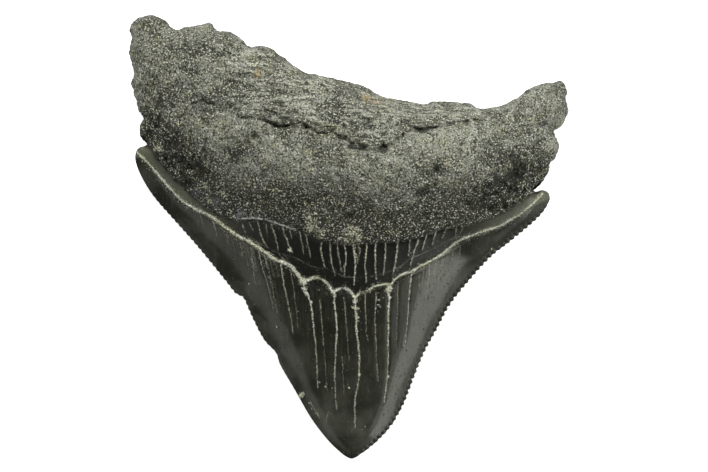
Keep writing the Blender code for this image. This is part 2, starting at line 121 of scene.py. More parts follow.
bpy.ops.object.select_all(action="DESELECT")
bpy.ops.mesh.primitive_plane_add(size=TABLE_SIZE, location=(0, 0, 0))
table = bpy.context.object
table.name = "table"
paper = bpy.data.materials.new("white_paper")
paper.use_nodes = True
paper_shader = paper.node_tree.nodes["Principled BSDF"]
paper_shader.inputs["Base Color"].default_value = (0.9, 0.9, 0.9, 1)
paper_shader.inputs["Roughness"].default_value = 0.9
paper_shader.inputs["Specular IOR Level"].default_value = 0.1
paper_shader.inputs["Emission Color"].default_value = (1, 1, 1, 1)
paper_shader.inputs["Emission Strength"].default_value = TABLE_GLOW
table.data.materials.append(paper)
table.visible_glossy = False

room = bpy.data.worlds.new("dim_room")
room.use_nodes = True
room.node_tree.nodes["Background"].inputs["Color"].default_value = (1, 1, 1, 1)
room.node_tree.nodes["Background"].inputs["Strength"].default_value = ROOM_LIGHT
bpy.context.scene.world = room
bpy.context.scene.view_settings.view_transform = "Standard"
print("the table is", TABLE_SIZE, "m wide")

# %% [markdown]
# ## The plan
#
# An outline is easiest to judge from above, so the tooth starts flat. These lines are read off and given in
# units of an eighth of a millimetre, from the middle of the tooth. Rows cross the tooth, and sides run up it.
# A curve through the points gives every place in between.

# %% Name the lines of the plan
LEFT_EDGE = [(-5, -218), (-14, -210), (-24, -199), (-38, -180), (-54, -152), (-68, -128), (-72, -116),
             (-84, -103), (-96, -80), (-105, -60), (-112, -57), (-124, -42), (-150, -10), (-173, 16),
             (-194, 40), (-206, 59), (-212, 73), (-213, 80)]
RIGHT_EDGE = [(13, -217), (21, -211), (34, -199), (44, -187), (51, -175), (57, -163), (66, -139),
              (76, -115), (89, -91), (102, -67), (121, -43), (143, -19), (162, -4), (186, 16),
              (197, 28), (202, 38)]
LEFT_SHOULDER = [(-213, 80), (-212, 86), (-208, 90), (-203, 91), (-200, 94)]
RIGHT_SHOULDER = [(202, 38), (201, 43), (198, 46), (193, 47), (188, 45), (185, 47)]
LEFT_LOBE = [(-200, 94), (-203, 98), (-208, 101), (-209, 107), (-207, 113), (-205, 119), (-209, 127),
             (-215, 145), (-217, 152), (-214, 165), (-219, 182), (-217, 197), (-218, 207), (-215, 214),
             (-209, 219)]
RIGHT_LOBE = [(185, 47), (188, 51), (195, 56), (200, 65), (203, 74), (208, 79), (210, 89), (209, 97),
              (206, 105), (210, 108), (216, 115), (220, 125), (220, 130), (218, 139), (219, 147),
              (216, 154)]
TIP_ROW = [(-5, -218), (0, -221), (4, -222), (9, -220), (13, -217)]
NECK_ROW = [(-213, 80), (-198, 75), (-178, 50), (-148, 24), (-108, 1), (-68, -23), (-44, -44), (-15, -54),
            (8, -59), (44, -47), (63, -35), (92, -19), (122, -2), (152, 10), (180, 28), (202, 38)]
MARGIN_ROW = [(-200, 94), (-195, 87), (-188, 76), (-170, 56), (-148, 35), (-133, 25), (-116, 18), (-86, 18),
              (-67, 14), (-48, 7), (-30, -1), (-3, -6), (32, -5), (57, -3), (74, 1), (92, 7), (110, 11),
              (132, 16), (152, 23), (164, 29), (174, 37), (182, 42), (185, 47)]
TOP_ROW = [(-209, 219), (-200, 222), (-191, 220), (-184, 217), (-173, 208), (-167, 208), (-148, 212),
           (-140, 214), (-135, 212), (-131, 206), (-117, 205), (-108, 199), (-97, 189), (-84, 191),
           (-64, 179), (-51, 168), (-40, 164), (-14, 158), (12, 152), (34, 141), (62, 135), (76, 133),
           (90, 135), (118, 134), (132, 129), (152, 131), (167, 138), (182, 149), (200, 154), (212, 156),
           (216, 154)]
LABIAL_NECK = [(-213, 84), (-190, 80), (-148, 60), (-80, 40), (0, 30), (80, 33), (140, 38), (190, 44),
               (202, 44)]
LEFT_FLANK = [(4, -226), (-34, -186), (-70, -124), (-118, -50), (-160, 0), (-190, 36), (-214, 86)]
RIGHT_FLANK = [(4, -226), (42, -189), (72, -126), (108, -60), (158, -6), (186, 17), (206, 42)]
PLAN_WIDTH = 440
print("the plan is", PLAN_WIDTH, "units wide, or", PLAN_WIDTH * UNIT / MM, "mm")

# %% Curves, distances and soft steps
LUMP_SEED = 7.3


def smooth_line(points, steps=8):
    """A Catmull-Rom curve through the points, as an array of closely spaced points."""
    p = np.array(points, float)
    p = np.vstack([2 * p[0] - p[1], p, 2 * p[-1] - p[-2]])
    t = np.linspace(0, 1, steps, endpoint=False)[:, None]
    spans = [0.5 * (2 * b + (c - a) * t + (2 * a - 5 * b + 4 * c - d) * t**2
                    + (3 * b - a - 3 * c + d) * t**3)
             for a, b, c, d in zip(p, p[1:], p[2:], p[3:])]
    return np.vstack(spans + [p[-2:-1]])


def along(line, shares):
    """The points at these shares, 0 to 1, of the line's length."""
    lengths = np.concatenate([[0], np.cumsum(np.linalg.norm(np.diff(line, axis=0), axis=1))])
    at = np.asarray(shares) * lengths[-1]
    return np.column_stack([np.interp(at, lengths, line[:, i]) for i in (0, 1)])


def nearest(points, line):
    """For each point: how far the line is, how far along it that is, its normal there and the side."""
    starts, runs = line[:-1], np.diff(line, axis=0)
    lengths = np.linalg.norm(runs, axis=1)
    before = np.concatenate([[0], np.cumsum(lengths)[:-1]])
    far, place, lean = np.full(len(points), 1e9), np.zeros(len(points)), np.zeros(len(points))
    normal = np.zeros_like(points)
    for start, run, length, offset in zip(starts, runs, lengths, before):
        share = np.clip((points - start) @ run / length**2, 0, 1)
        gap = np.linalg.norm(points - start - share[:, None] * run, axis=1)
        closer = gap < far
        out = np.array([run[1], -run[0]]) / length
        far[closer], place[closer], normal[closer] = gap[closer], offset + share[closer] * length, out
        lean[closer] = np.sign((points[closer] - start) @ out)
    return far, place, normal, lean


def signed(points, row):
    """Distance from a row that crosses the tooth: positive on the root's side of it."""
    line = smooth_line(row)
    above = points[:, 1] > np.interp(points[:, 0], line[:, 0], line[:, 1])
    return np.where(above, 1, -1) * nearest(points, line)[0]


def ease(value):
    """0 below 0 and 1 above 1, with a smooth rise between."""
    v = np.clip(value, 0, 1)
    return v * v * (3 - 2 * v)


def lumps(points, size, layer=0.0, stretch=(1.0, 1.0)):
    """Smooth random lumps of about this size, between -1 and 1. Each layer has lumps of its own."""
    x_size, y_size = size * stretch[0], size * stretch[1]
    return np.array([noise.noise(Vector((x / x_size, y / y_size, LUMP_SEED + layer))) for x, y in points])


def blobs(points, spots):
    """The strongest of the round soft spots at each point. A spot is (x, y, radius, strength)."""
    strongest = np.zeros(len(points))
    for x, y, radius, strength in spots:
        away = np.hypot(points[:, 0] - x, points[:, 1] - y) / radius
        strongest = np.maximum(strongest, strength * np.exp(-(away**2)))
    return strongest


def grooves(points, lines, width):
    """How much of the nearest groove reaches each point: 1 at its bottom and 0 outside."""
    deep = np.zeros(len(points))
    for line in lines:
        deep = np.maximum(deep, np.exp(-((nearest(points, smooth_line(line, 4))[0] / width) ** 2)))
    return deep


print("a step half way:", ease(0.5))

# %% [markdown]
# ## The skin
#
# The skin could be carved out of a block, but a grid that follows the tooth is easier to steer: its
# columns run from the tip of the crown up to the root's top edge, just as the real tooth's cracks do.
# A plain grid is added and laid between the lines of the plan. Its copy, turned over, becomes the
# labial face, and the two are welded round the rim. Only the upper face is then subdivided, because it
# is the one with all the detail, and the crown's edges are cut finer still for the serrations.

# %% Lay a grid between the lines
COLUMNS = 124
CROWN_ROWS, BOURLETTE_ROWS, ROOT_ROWS = 80, 8, 64
EDGE_CROWDING = 0.2
RIM_CROWDING = 1.1


def patch(bottom, top, left, right, columns, rows):
    """The places of a grid stretched between four curves."""
    c, r = columns[None, :, None], rows[:, None, None]
    low, high = along(bottom, columns)[None], along(top, columns)[None]
    west, east = along(left, rows)[:, None], along(right, rows)[:, None]
    corners = (1 - r) * ((1 - c) * bottom[0] + c * bottom[-1]) + r * ((1 - c) * top[0] + c * top[-1])
    return (1 - r) * low + r * high + (1 - c) * west + c * east - corners


def plan_grid():
    """The places of all grid points: the crown, the bourlette and the root, one above the other."""
    even = np.linspace(0, 1, COLUMNS + 1)
    columns = (1 - EDGE_CROWDING) * even + EDGE_CROWDING * (0.5 - 0.5 * np.cos(np.pi * even))
    tip, neck = smooth_line(TIP_ROW), smooth_line(NECK_ROW)
    margin, top = smooth_line(MARGIN_ROW), smooth_line(TOP_ROW)
    crown = patch(tip, neck, smooth_line(LEFT_EDGE), smooth_line(RIGHT_EDGE),
                  columns, np.linspace(0, 1, CROWN_ROWS + 1))
    bourlette = patch(neck, margin, smooth_line(LEFT_SHOULDER), smooth_line(RIGHT_SHOULDER),
                      columns, np.linspace(0, 1, BOURLETTE_ROWS + 1))
    root = patch(margin, top, smooth_line(LEFT_LOBE), smooth_line(RIGHT_LOBE),
                 columns, np.sin(np.linspace(0, 1, ROOT_ROWS + 1) * np.pi / 2) ** RIM_CROWDING)
    return np.vstack([crown, bourlette[1:], root[1:]])


places = plan_grid()
rows = len(places) - 1
bpy.ops.object.select_all(action="DESELECT")
bpy.ops.mesh.primitive_grid_add(x_subdivisions=COLUMNS, y_subdivisions=rows, size=2, location=(0, 0, 0))
skin = bpy.context.object
skin.name = "tooth_skin"
for vert in skin.data.vertices:
    column = round((vert.co.x + 1) / 2 * COLUMNS)
    row = round((vert.co.y + 1) / 2 * rows)
    on_rim = column in (0, COLUMNS) or row in (0, rows)
    vert.co = (*places[row, column], 0.0 if on_rim else 1.0)
print("grid points:", len(skin.data.vertices))

# %% Add the labial sheet and weld the rim
SHOULDER_XS, SHOULDER_YS = (-213, 202), (79, 37)
EDGE_CUTS = 3


def select_by(test, mode):
    """Selects, in edit mode, every vertex, edge or face that passes the test."""
    bpy.ops.mesh.select_mode(type=mode)
    bpy.ops.mesh.select_all(action="DESELECT")
    shape = bmesh.from_edit_mesh(skin.data)
    for item in {"VERT": shape.verts, "EDGE": shape.edges, "FACE": shape.faces}[mode]:
        if test(item):
            item.select_set(True)
    bmesh.update_edit_mesh(skin.data)


bpy.ops.object.mode_set(mode="EDIT")
bpy.ops.mesh.select_all(action="SELECT")
bpy.ops.mesh.duplicate()
bpy.ops.transform.resize(value=(1, 1, -1), center_override=(0, 0, 0))
bpy.ops.mesh.flip_normals()
select_by(lambda vert: abs(vert.co.z) < 0.5, "VERT")
bpy.ops.mesh.remove_doubles(threshold=0.01)
select_by(lambda face: face.calc_center_median().z > 0, "FACE")
bpy.ops.mesh.subdivide(number_cuts=1, ngon=True)
select_by(lambda edge: all(v.co.z == 0 and v.co.y < np.interp(v.co.x, SHOULDER_XS, SHOULDER_YS)
                           for v in edge.verts), "EDGE")
bpy.ops.mesh.subdivide(number_cuts=EDGE_CUTS, ngon=True)
bpy.ops.mesh.select_all(action="SELECT")
bpy.ops.mesh.normals_make_consistent(inside=False)
bpy.ops.object.mode_set(mode="OBJECT")
flat = np.empty(len(skin.data.vertices) * 3)
skin.data.vertices.foreach_get("co", flat)
flat = flat.reshape(-1, 3)
plan, side = flat[:, :2].copy(), np.where(np.abs(flat[:, 2]) > 0.01, np.sign(flat[:, 2]), 0)
print("skin points:", len(flat), "of them on the rim:", int((side == 0).sum()))

# %% [markdown]
# ## The main forms
#
# The real tooth has no flat or straight surface, so its height is drawn like a map: a few spot heights
# are chosen, and a thin bent plate through them gives the rest. The blade then falls away along its
# flanks to a sharp edge, and the root rounds over at its rim. These are the packed model's own forms.

# %% Give the spot heights, in millimetres
LINGUAL_SPOTS = [
    (4, -208, 2.3), (4, -180, 3.3), (4, -150, 4.1), (5, -100, 5.0), (5, -60, 5.9),
    (-12, -180, 2.95), (24, -180, 2.95), (-28, -150, 3.3), (36, -150, 3.3), (-56, -100, 3.65),
    (52, -100, 3.65), (-76, -60, 3.85), (76, -60, 3.95), (-114, -18, 3.8), (112, -16, 4.2),
    (-168, 30, 3.75), (172, 14, 4.1), (-204, 70, 3.6), (196, 38, 4.0),
    (-142, 5, 3.75),
    (0, -32, 7.1), (0, -8, 8.2), (-80, 0, 6.5), (85, -2, 6.6), (-140, 33, 5.1), (140, 14, 5.75),
    (0, 20, 9.9), (-60, 30, 9.4), (70, 26, 9.6), (-110, 45, 8.2), (120, 36, 8.0),
    (0, 60, 13.0), (-60, 62, 12.4), (60, 60, 12.9), (110, 58, 11.2), (-110, 78, 10.8), (-150, 88, 8.4),
    (150, 74, 8.9), (-188, 112, 6.6), (194, 92, 6.8),
    (0, 88, 13.4), (40, 84, 13.4), (-60, 104, 12.5), (100, 98, 11.8), (-120, 126, 10.6),
    (0, 108, 12.2), (0, 130, 9.9), (0, 148, 7.4), (-60, 150, 9.9), (-60, 168, 7.8),
    (-100, 162, 9.6), (-150, 180, 8.0), (-196, 202, 6.4), (-198, 150, 6.9),
    (70, 116, 10.2), (76, 128, 7.8), (130, 112, 9.0), (130, 124, 7.2), (170, 122, 8.0), (204, 142, 6.2),
    (206, 118, 6.4),
]
RIM_SPOTS = [
    (4, -222, 1.7), (-54, -152, 1.75), (60, -152, 1.75), (-105, -60, 1.85), (105, -60, 1.85),
    (-163, 4, 2.4), (160, -5, 2.4), (-213, 84, 3.1), (202, 42, 3.1), (-208, 107, 3.3), (208, 85, 3.3),
    (-218, 190, 3.2), (219, 140, 3.0), (-150, 212, 3.6), (-50, 168, 4.0), (60, 135, 4.2), (150, 131, 3.8),
]
LABIAL_SPOTS = [
    (2, -205, 0.9), (0, -170, 0.3), (0, -120, -0.15), (-45, -120, 0.3), (45, -120, 0.3), (0, -60, 0.2),
    (-80, -45, 0.8), (80, -45, 0.8), (0, 0, 0.6), (-120, 15, 1.1), (120, 5, 1.1), (-200, 75, 2.0),
    (192, 38, 2.0), (0, 60, 1.1), (0, 120, 1.6), (-80, 90, 0.7), (80, 75, 0.7), (-150, 130, -0.5),
    (150, 95, -0.5), (-150, 180, 0.1), (-195, 190, 0.9), (-195, 120, 0.9), (195, 130, 0.9), (195, 80, 1.0),
    (-70, 165, 1.2), (80, 122, 1.4),
]
BLADE_HEIGHTS = [-222, -200, -180, -150, -100, -60, -20, 20, 80]
BLADE_BEVELS = [9, 13, 18, 23, 30, 37, 42, 38, 26]
BLADE_STRIPS = [0, 0, 0, 1, 4, 6, 5, 4, 4]
STRIP_RISE, FLANK, FLANK_BLEND = 0.2, 0.5, 14.0
LABIAL_BEVEL, ROOT_ROUNDING, LABIAL_ROUNDING = 22.0, 20.0, 22.0
ROOT_STEP, ROOT_STEP_WIDTH = 0.75, 5.0
RAGGED_SIZE, RAGGED_X, RAGGED_Y = 5.0, 1.5, 1.8


def relief(spots, points):
    """Heights at the points, on the thin plate that passes through the spot heights."""
    spots = np.array(spots, float)
    scale = PLAN_WIDTH / 2

    def bend(a, b):
        square = ((a[:, None] - b[None]) ** 2).sum(axis=2)
        return square * np.log(square + 1e-12)

    xy = spots[:, :2] / scale
    level = np.column_stack([np.ones(len(xy)), xy])
    system = np.block([[bend(xy, xy), level], [level.T, np.zeros((3, 3))]])
    weights = np.linalg.solve(system, np.concatenate([spots[:, 2], np.zeros(3)]))
    at = points / scale
    return np.column_stack([bend(at, xy), np.ones(len(at)), at]) @ weights


def outline():
    """The closed outline of the tooth, clockwise from the tip."""
    parts = [smooth_line(TIP_ROW)[::-1], smooth_line(LEFT_EDGE), smooth_line(LEFT_SHOULDER),
             smooth_line(LEFT_LOBE), smooth_line(TOP_ROW), smooth_line(RIGHT_LOBE)[::-1],
             smooth_line(RIGHT_SHOULDER)[::-1], smooth_line(RIGHT_EDGE)[::-1]]
    return np.vstack([part[:-1] for part in parts] + [parts[0][:1]])


def flank(gap, bevel, strip):
    """The blade's section by the distance from its edge: a flatter strip, a slope and a rounded top."""
    share = (gap - strip) / (bevel - strip)
    rise = 2 / (1 + FLANK)
    left = 1 - np.clip(share, FLANK, 1)
    slope = np.where(share < FLANK, rise * share, 1 - rise / (2 * (1 - FLANK)) * left**2)
    reached = STRIP_RISE * np.clip(strip, 0, 1)
    on_strip = reached * np.clip(gap / np.maximum(strip, 1), 0, 1)
    return np.where(gap < strip, on_strip, reached + (1 - reached) * slope)


def round_over(share):
    """A quarter circle: steep at the rim, and level from a share of 1."""
    return np.sqrt(np.clip(1 - (1 - np.clip(share, 0, 1)) ** 2, 0, 1))


rim_gap = nearest(plan, outline())[0]
rim_gap[side == 0] = 0.0
rim_height = relief(RIM_SPOTS, plan)
ragged_plan = plan + np.column_stack([RAGGED_X * lumps(plan, RAGGED_SIZE, 61.0),
                                      RAGGED_Y * lumps(plan, RAGGED_SIZE, 63.0)])
margin_gap, neck_gap = signed(ragged_plan, MARGIN_ROW), signed(plan, NECK_ROW)
labial_gap = signed(ragged_plan, LABIAL_NECK)
root_gap = np.where(side < 0, labial_gap, margin_gap)
root_share = ease(root_gap / ROOT_STEP_WIDTH + 0.5)
upper = side >= 0
print("highest spot:", max(spot[2] for spot in LINGUAL_SPOTS), "mm")

# %% [markdown]
# ## Ledges, beds, furrows and pits
#
# Across the root runs a ledge, where a worn upper layer ends over the bulge, with thin beds along it.
# The lower corners have deep furrows and pores. Each is a line or a spot, pressed into the height. The same
# depth, with some extra pits, also drives a mask of painted shade that darkens the hollows.

# %% Place the ledge and the hollows of the root
# Each bed is a line, its depth in millimetres and its width in plan units.
LEDGE = [(-143, 134), (-123, 126), (-108, 119), (-86, 116), (-70, 110), (-48, 110), (-30, 103), (-8, 99),
         (2, 91), (20, 89), (37, 88), (52, 98), (64, 104), (80, 107), (97, 111), (120, 116)]
LEDGE_RISE, LEDGE_REACH, LEDGE_WIDTH = 0.55, 26.0, 3.5
BEDS = [
    ([(-143, 134), (-130, 131), (-119, 131)], 0.45, 2.0), ([(-112, 130), (-108, 130)], 0.4, 2.0),
    ([(-106, 128), (-87, 123)], 0.25, 1.7), ([(-87, 116), (-78, 112), (-69, 109)], 0.6, 2.0),
    ([(-67, 109), (-60, 110), (-51, 109)], 0.8, 2.4), ([(-34, 104), (-24, 102)], 0.6, 2.2),
    ([(-24, 98), (-12, 96)], 0.45, 1.7), ([(2, 89), (12, 88), (20, 87), (37, 88)], 0.95, 3.0),
    ([(-13, 111), (0, 110), (12, 110)], 0.4, 1.9), ([(-80, 125), (-64, 125)], 0.35, 2.2),
    ([(64, 107), (72, 105), (79, 106)], 0.75, 2.6), ([(79, 106), (99, 110), (117, 115)], 0.55, 1.9),
    ([(-66, 126), (-40, 121), (-20, 119)], 0.2, 1.8), ([(2, 137), (13, 137)], 0.5, 2.2),
    ([(-86, 152), (-50, 147), (-10, 141), (14, 138)], 0.15, 1.8),
    ([(-60, 144), (-20, 132), (20, 127), (50, 120)], 0.15, 1.8),
    ([(-205, 120), (-192, 112), (-186, 104)], 0.3, 2.0),
]
BED_SHARE = 0.6
# Where the bone is rotten and porous, as (x, y, radius, share).
POROUS_PATCHES = [
    (-172, 82, 20, 1.0), (-150, 72, 20, 1.0), (-112, 84, 15, 0.9), (-165, 56, 15, 0.9),
    (-192, 112, 14, 0.8), (-140, 48, 14, 0.6), (164, 62, 20, 1.5), (148, 50, 14, 1.2), (142, 36, 16, 0.9),
    (120, 42, 12, 0.7), (88, 68, 12, 0.7), (74, 42, 10, 0.7), (-36, 36, 14, 0.5), (0, 22, 10, 0.6),
    (190, 68, 12, 0.8), (206, 105, 12, 0.6), (-206, 150, 14, 0.6), (19, 115, 9, 0.8), (-60, 112, 12, 0.5),
    (100, 90, 10, 0.4), (-185, 130, 10, 0.7), (-4, 104, 9, 1.0), (54, 99, 9, 0.9), (-44, 107, 6, 0.9),
    (-122, 130, 9, 0.6),
]
CAVITY_SIZE, CAVITY_DEPTH, FINE_CAVITY_DEPTH = 5.5, 0.55, 0.25
CAVITY_STEEPNESS, SOUND_BONE_SHARE, FINE_CAVITY_LEVEL = 3.2, 0.25, 0.3
FURROWS = [
    [(-176, 98), (-172, 88), (-168, 74)],
    [(-141, 98), (-145, 84), (-149, 70), (-147, 56)],
    [(-163, 74), (-165, 60), (-162, 46)],
    [(-183, 92), (-178, 78), (-172, 66)],
    [(74, 47), (73, 40), (73, 34)],
    [(137, 42), (134, 32), (132, 26)],
    [(150, 40), (155, 32), (158, 24)],
    [(124, 40), (118, 34)],
    [(172, 74), (166, 60), (158, 50), (148, 44)],
    [(-4, 22), (-6, 12)],
]
FURROW_CUT, FURROW_CUT_WIDTH = 0.5, 2.6
# Each pit is (x, y, radius) in plan units and its depth in millimetres.
PITS = [
    (35, 87, 5, 0.8), (112, 92, 3.5, 0.5), (88, 67, 4, 0.7), (91, 63, 3, 0.6), (74, 42, 4, 0.5),
    (166, 61, 8, 1.2), (173, 69, 5, 0.8), (150, 54, 6, 0.8), (165, 44, 5, 0.5), (2, 22, 5, 0.5),
    (-108, 82, 7, 0.45), (-118, 84, 4, 0.4), (-100, 74, 4, 0.4), (-92, 99, 4, 0.5), (117, 37, 4, 0.5),
    (-41, 152, 3, 0.6), (12, 137, 4, 0.5), (-188, 132, 6, 0.6), (-184, 128, 4, 0.5), (118, 115, 4, 0.6),
    (74, 106, 5, 0.5), (60, 106, 4, 0.4), (-146, 66, 6, 0.6), (-197, 104, 5, 0.5), (140, 106, 5, 0.3),
    (-55, 110, 5, 0.5), (-37, 40, 8, 0.2), (85, 53, 3, 0.4), (-205, 150, 4, 0.3), (-30, 60, 3, 0.3),
    (190, 66, 4, 0.4), (142, 70, 4, 0.4), (-156, 52, 5, 0.5), (-130, 30, 4, 0.4), (144, 30, 4, 0.5),
]
LABIAL_PITS = [
    (-120, 150, 7, 0.5), (60, 90, 6, 0.5), (-40, 110, 9, 0.5), (140, 118, 6, 0.4), (-170, 110, 6, 0.4),
    (10, 75, 5, 0.5), (-90, 70, 5, 0.4), (110, 60, 7, 0.4),
]
# Sizes and heights of the lumps that bend these lines and spots, in plan units.
WOBBLE_LUMPS, WOBBLE_GRAIN = (8.0, 1.7), (3.0, 0.8)
UNEVEN_SIZE, UNEVEN_MIDDLE, UNEVEN_LIMITS = 7.0, 0.8, (0.2, 1.3)

wobbly = plan + np.column_stack([WOBBLE_LUMPS[1] * lumps(plan, WOBBLE_LUMPS[0], layer)
                                 + WOBBLE_GRAIN[1] * lumps(plan, WOBBLE_GRAIN[0], layer + 2)
                                 for layer in (31.0, 37.0)])
unevenness = np.clip(UNEVEN_MIDDLE + lumps(plan, UNEVEN_SIZE, 41.0), *UNEVEN_LIMITS)
bed_depth = np.zeros(len(plan))
for line, depth, width in BEDS:
    bed_depth = np.maximum(bed_depth, BED_SHARE * depth * unevenness * grooves(wobbly, [line], width))
furrow_depth = FURROW_CUT * unevenness * grooves(wobbly, FURROWS, FURROW_CUT_WIDTH)
pit_depth = blobs(wobbly, PITS)
porous = blobs(plan, POROUS_PATCHES)
cavities = CAVITY_STEEPNESS * lumps(plan, CAVITY_SIZE, 11.0, (0.8, 1.4))
fine_cavities = CAVITY_STEEPNESS * lumps(plan, CAVITY_SIZE / 2, 12.0, (0.8, 1.3)) - FINE_CAVITY_LEVEL
cavity_depth = CAVITY_DEPTH * porous * ease(cavities)
cavity_depth += FINE_CAVITY_DEPTH * (SOUND_BONE_SHARE + porous) * ease(fine_cavities)
hollow_depth = np.maximum.reduce([bed_depth, furrow_depth, pit_depth, cavity_depth])
print("deepest hollow:", round(float(hollow_depth.max()), 2), "mm")

# %% [markdown]
# ## Serrations
#
# A megalodon's cutting edge is a row of small rounded teeth, crisp on the right edge here and worn down
# on the left. Each is a rounded bump. Counting how far along the edge a point lies tells which serration
# it is on, and a wear curve says how much of it is left.

# %% Work out the serrations
SERRATION_PITCH, SERRATION_DEPTH = 5.74, 2.7
SERRATION_REACH, SERRATION_HEIGHT = 4.0, 0.05
SERRATION_ROUNDNESS, SERRATION_MIDDLE = 0.8, 0.6
LEFT_WEAR = [(0.0, 0.0), (0.3, 0.08), (0.42, 0.35), (0.6, 0.4), (0.84, 0.3), (0.9, 0.05), (1.0, 0.0)]
RIGHT_WEAR = [(0.0, 0.2), (0.06, 0.8), (0.2, 1.0), (0.75, 1.0), (0.9, 0.8), (0.97, 0.2), (1.0, 0.0)]


def serrations(points, edge, wear):
    """For each point by an edge: its place among the serrations, the share left of them, the way out."""
    line = smooth_line(edge)
    far, place, normal, _ = nearest(points, line)
    length = np.linalg.norm(np.diff(line, axis=0), axis=1).sum()
    count = round(length / SERRATION_PITCH)
    left = np.interp(place / length, *zip(*wear)) * ease(1 - far / SERRATION_REACH)
    print("serrations along the edge:", count)
    return place / length * count, left, normal


serration_shift, serration_rise = np.zeros_like(plan), np.zeros(len(plan))
serration_place, serration_left = np.zeros(len(plan)), np.zeros(len(plan))
for edge, wear, out in ((LEFT_EDGE, LEFT_WEAR, -1), (RIGHT_EDGE, RIGHT_WEAR, 1)):
    place, left, normal = serrations(plan, edge, wear)
    bulge = np.abs(np.sin(np.pi * place)) ** SERRATION_ROUNDNESS - SERRATION_MIDDLE
    serration_shift += out * normal * (SERRATION_DEPTH * bulge * left)[:, None]
    serration_rise += SERRATION_HEIGHT * bulge * left
    serration_place = np.where(left > serration_left, place, serration_place)
    serration_left = np.maximum(serration_left, left)

# %% [markdown]
# ## Cracks
#
# As the enamel shrank and split, pale minerals filled its cracks. They run down from the neck line like drips,
# some strong and some a hair's breadth. More of them cross the black bourlette. Each is a short line of given
# points. A crack is thinner than the skin's own grid, so the skin stores how far away its nearest crack is,
# and on which side. The material draws the crack where that distance is small.

# %% Draw the cracks
# Each crack is its strength, its width in plan units and its points from the top down.
CROWN_CRACKS = [
    (0.9, 1.3, [(-67, -28), (-64, -48), (-60, -66), (-57, -81), (-55, -95)]),
    (1.0, 1.7, [(-45, -46), (-40, -58), (-36, -73), (-34, -93), (-32, -113), (-31, -135), (-30, -151)]),
    (1.0, 1.8, [(-14, -56), (-13, -73), (-11, -88), (-12, -108), (-13, -133), (-13, -155), (-11, -173)]),
    (1.0, 2.1, [(7, -60), (8, -83), (9, -98), (11, -113), (11, -133), (10, -148), (7, -163), (7, -190)]),
    (1.0, 1.7, [(39, -51), (41, -63), (40, -93), (40, -123), (39, -141), (36, -165)]),
    (0.85, 1.3, [(64, -35), (62, -48), (60, -73), (58, -98), (57, -108)]),
    (0.6, 1.1, [(-135, 15), (-132, 7), (-131, 1)]),
    (0.65, 1.1, [(-108, -6), (-106, -14), (-105, -21)]),
    (0.6, 1.1, [(-98, -10), (-95, -25), (-94, -40), (-92, -48)]),
    (0.65, 1.1, [(-90, -10), (-87, -25), (-79, -53), (-75, -71)]),
    (0.6, 1.1, [(-85, -13), (-78, -40), (-71, -75)]),
    (0.55, 1.1, [(-28, -63), (-24, -113), (-21, -153)]),
    (0.6, 1.1, [(-4, -61), (-2, -83), (1, -123)]),
    (0.65, 1.1, [(17, -55), (18, -90), (20, -104)]),
    (0.65, 1.2, [(28, -55), (27, -83), (28, -113), (30, -143)]),
    (0.5, 1.0, [(82, -25), (79, -53), (76, -73)]),
    (0.45, 0.9, [(88, -22), (86, -45)]),
    (0.45, 0.9, [(94, -20), (92, -40)]),
    (0.45, 0.9, [(76, -28), (74, -50)]),
    (0.5, 1.0, [(-58, -30), (-53, -60), (-50, -90)]),
    (0.5, 1.0, [(-20, -175), (-22, -185)]),
    (0.45, 1.0, [(-122, 5), (-119, -8)]),
    (0.45, 1.0, [(-74, -18), (-70, -40)]),
    (0.7, 0.9, [(-38, -165), (-33, -174)]),
    (0.7, 0.9, [(-31, -176), (-28, -183)]),
    (0.4, 0.8, [(105, -14), (103, -34)]),
    (0.4, 0.8, [(112, -10), (110, -26)]),
    (0.5, 0.8, [(-148, 22), (-145, 12)]),
    (0.45, 0.8, [(50, -44), (49, -80), (48, -110)]),
    (0.3, 0.8, [(-118, 4), (-113, -16)]),
    (0.3, 0.8, [(-112, 1), (-107, -20)]),
    (0.35, 0.8, [(-104, -5), (-99, -34)]),
    (0.3, 0.8, [(-101, -7), (-96, -30)]),
    (0.35, 0.8, [(-95, -10), (-88, -50)]),
    (0.35, 0.8, [(-83, -16), (-74, -50)]),
    (0.3, 0.8, [(-78, -20), (-68, -70)]),
    (0.3, 0.8, [(-125, 8), (-121, -6)]),
    (0.35, 0.8, [(71, -38), (71, -71)]),
    (0.35, 0.8, [(86, -34), (83, -58)]),
    (0.35, 0.8, [(91, -33), (89, -56)]),
    (0.45, 0.8, [(-6, -120), (-4, -160)]),
]
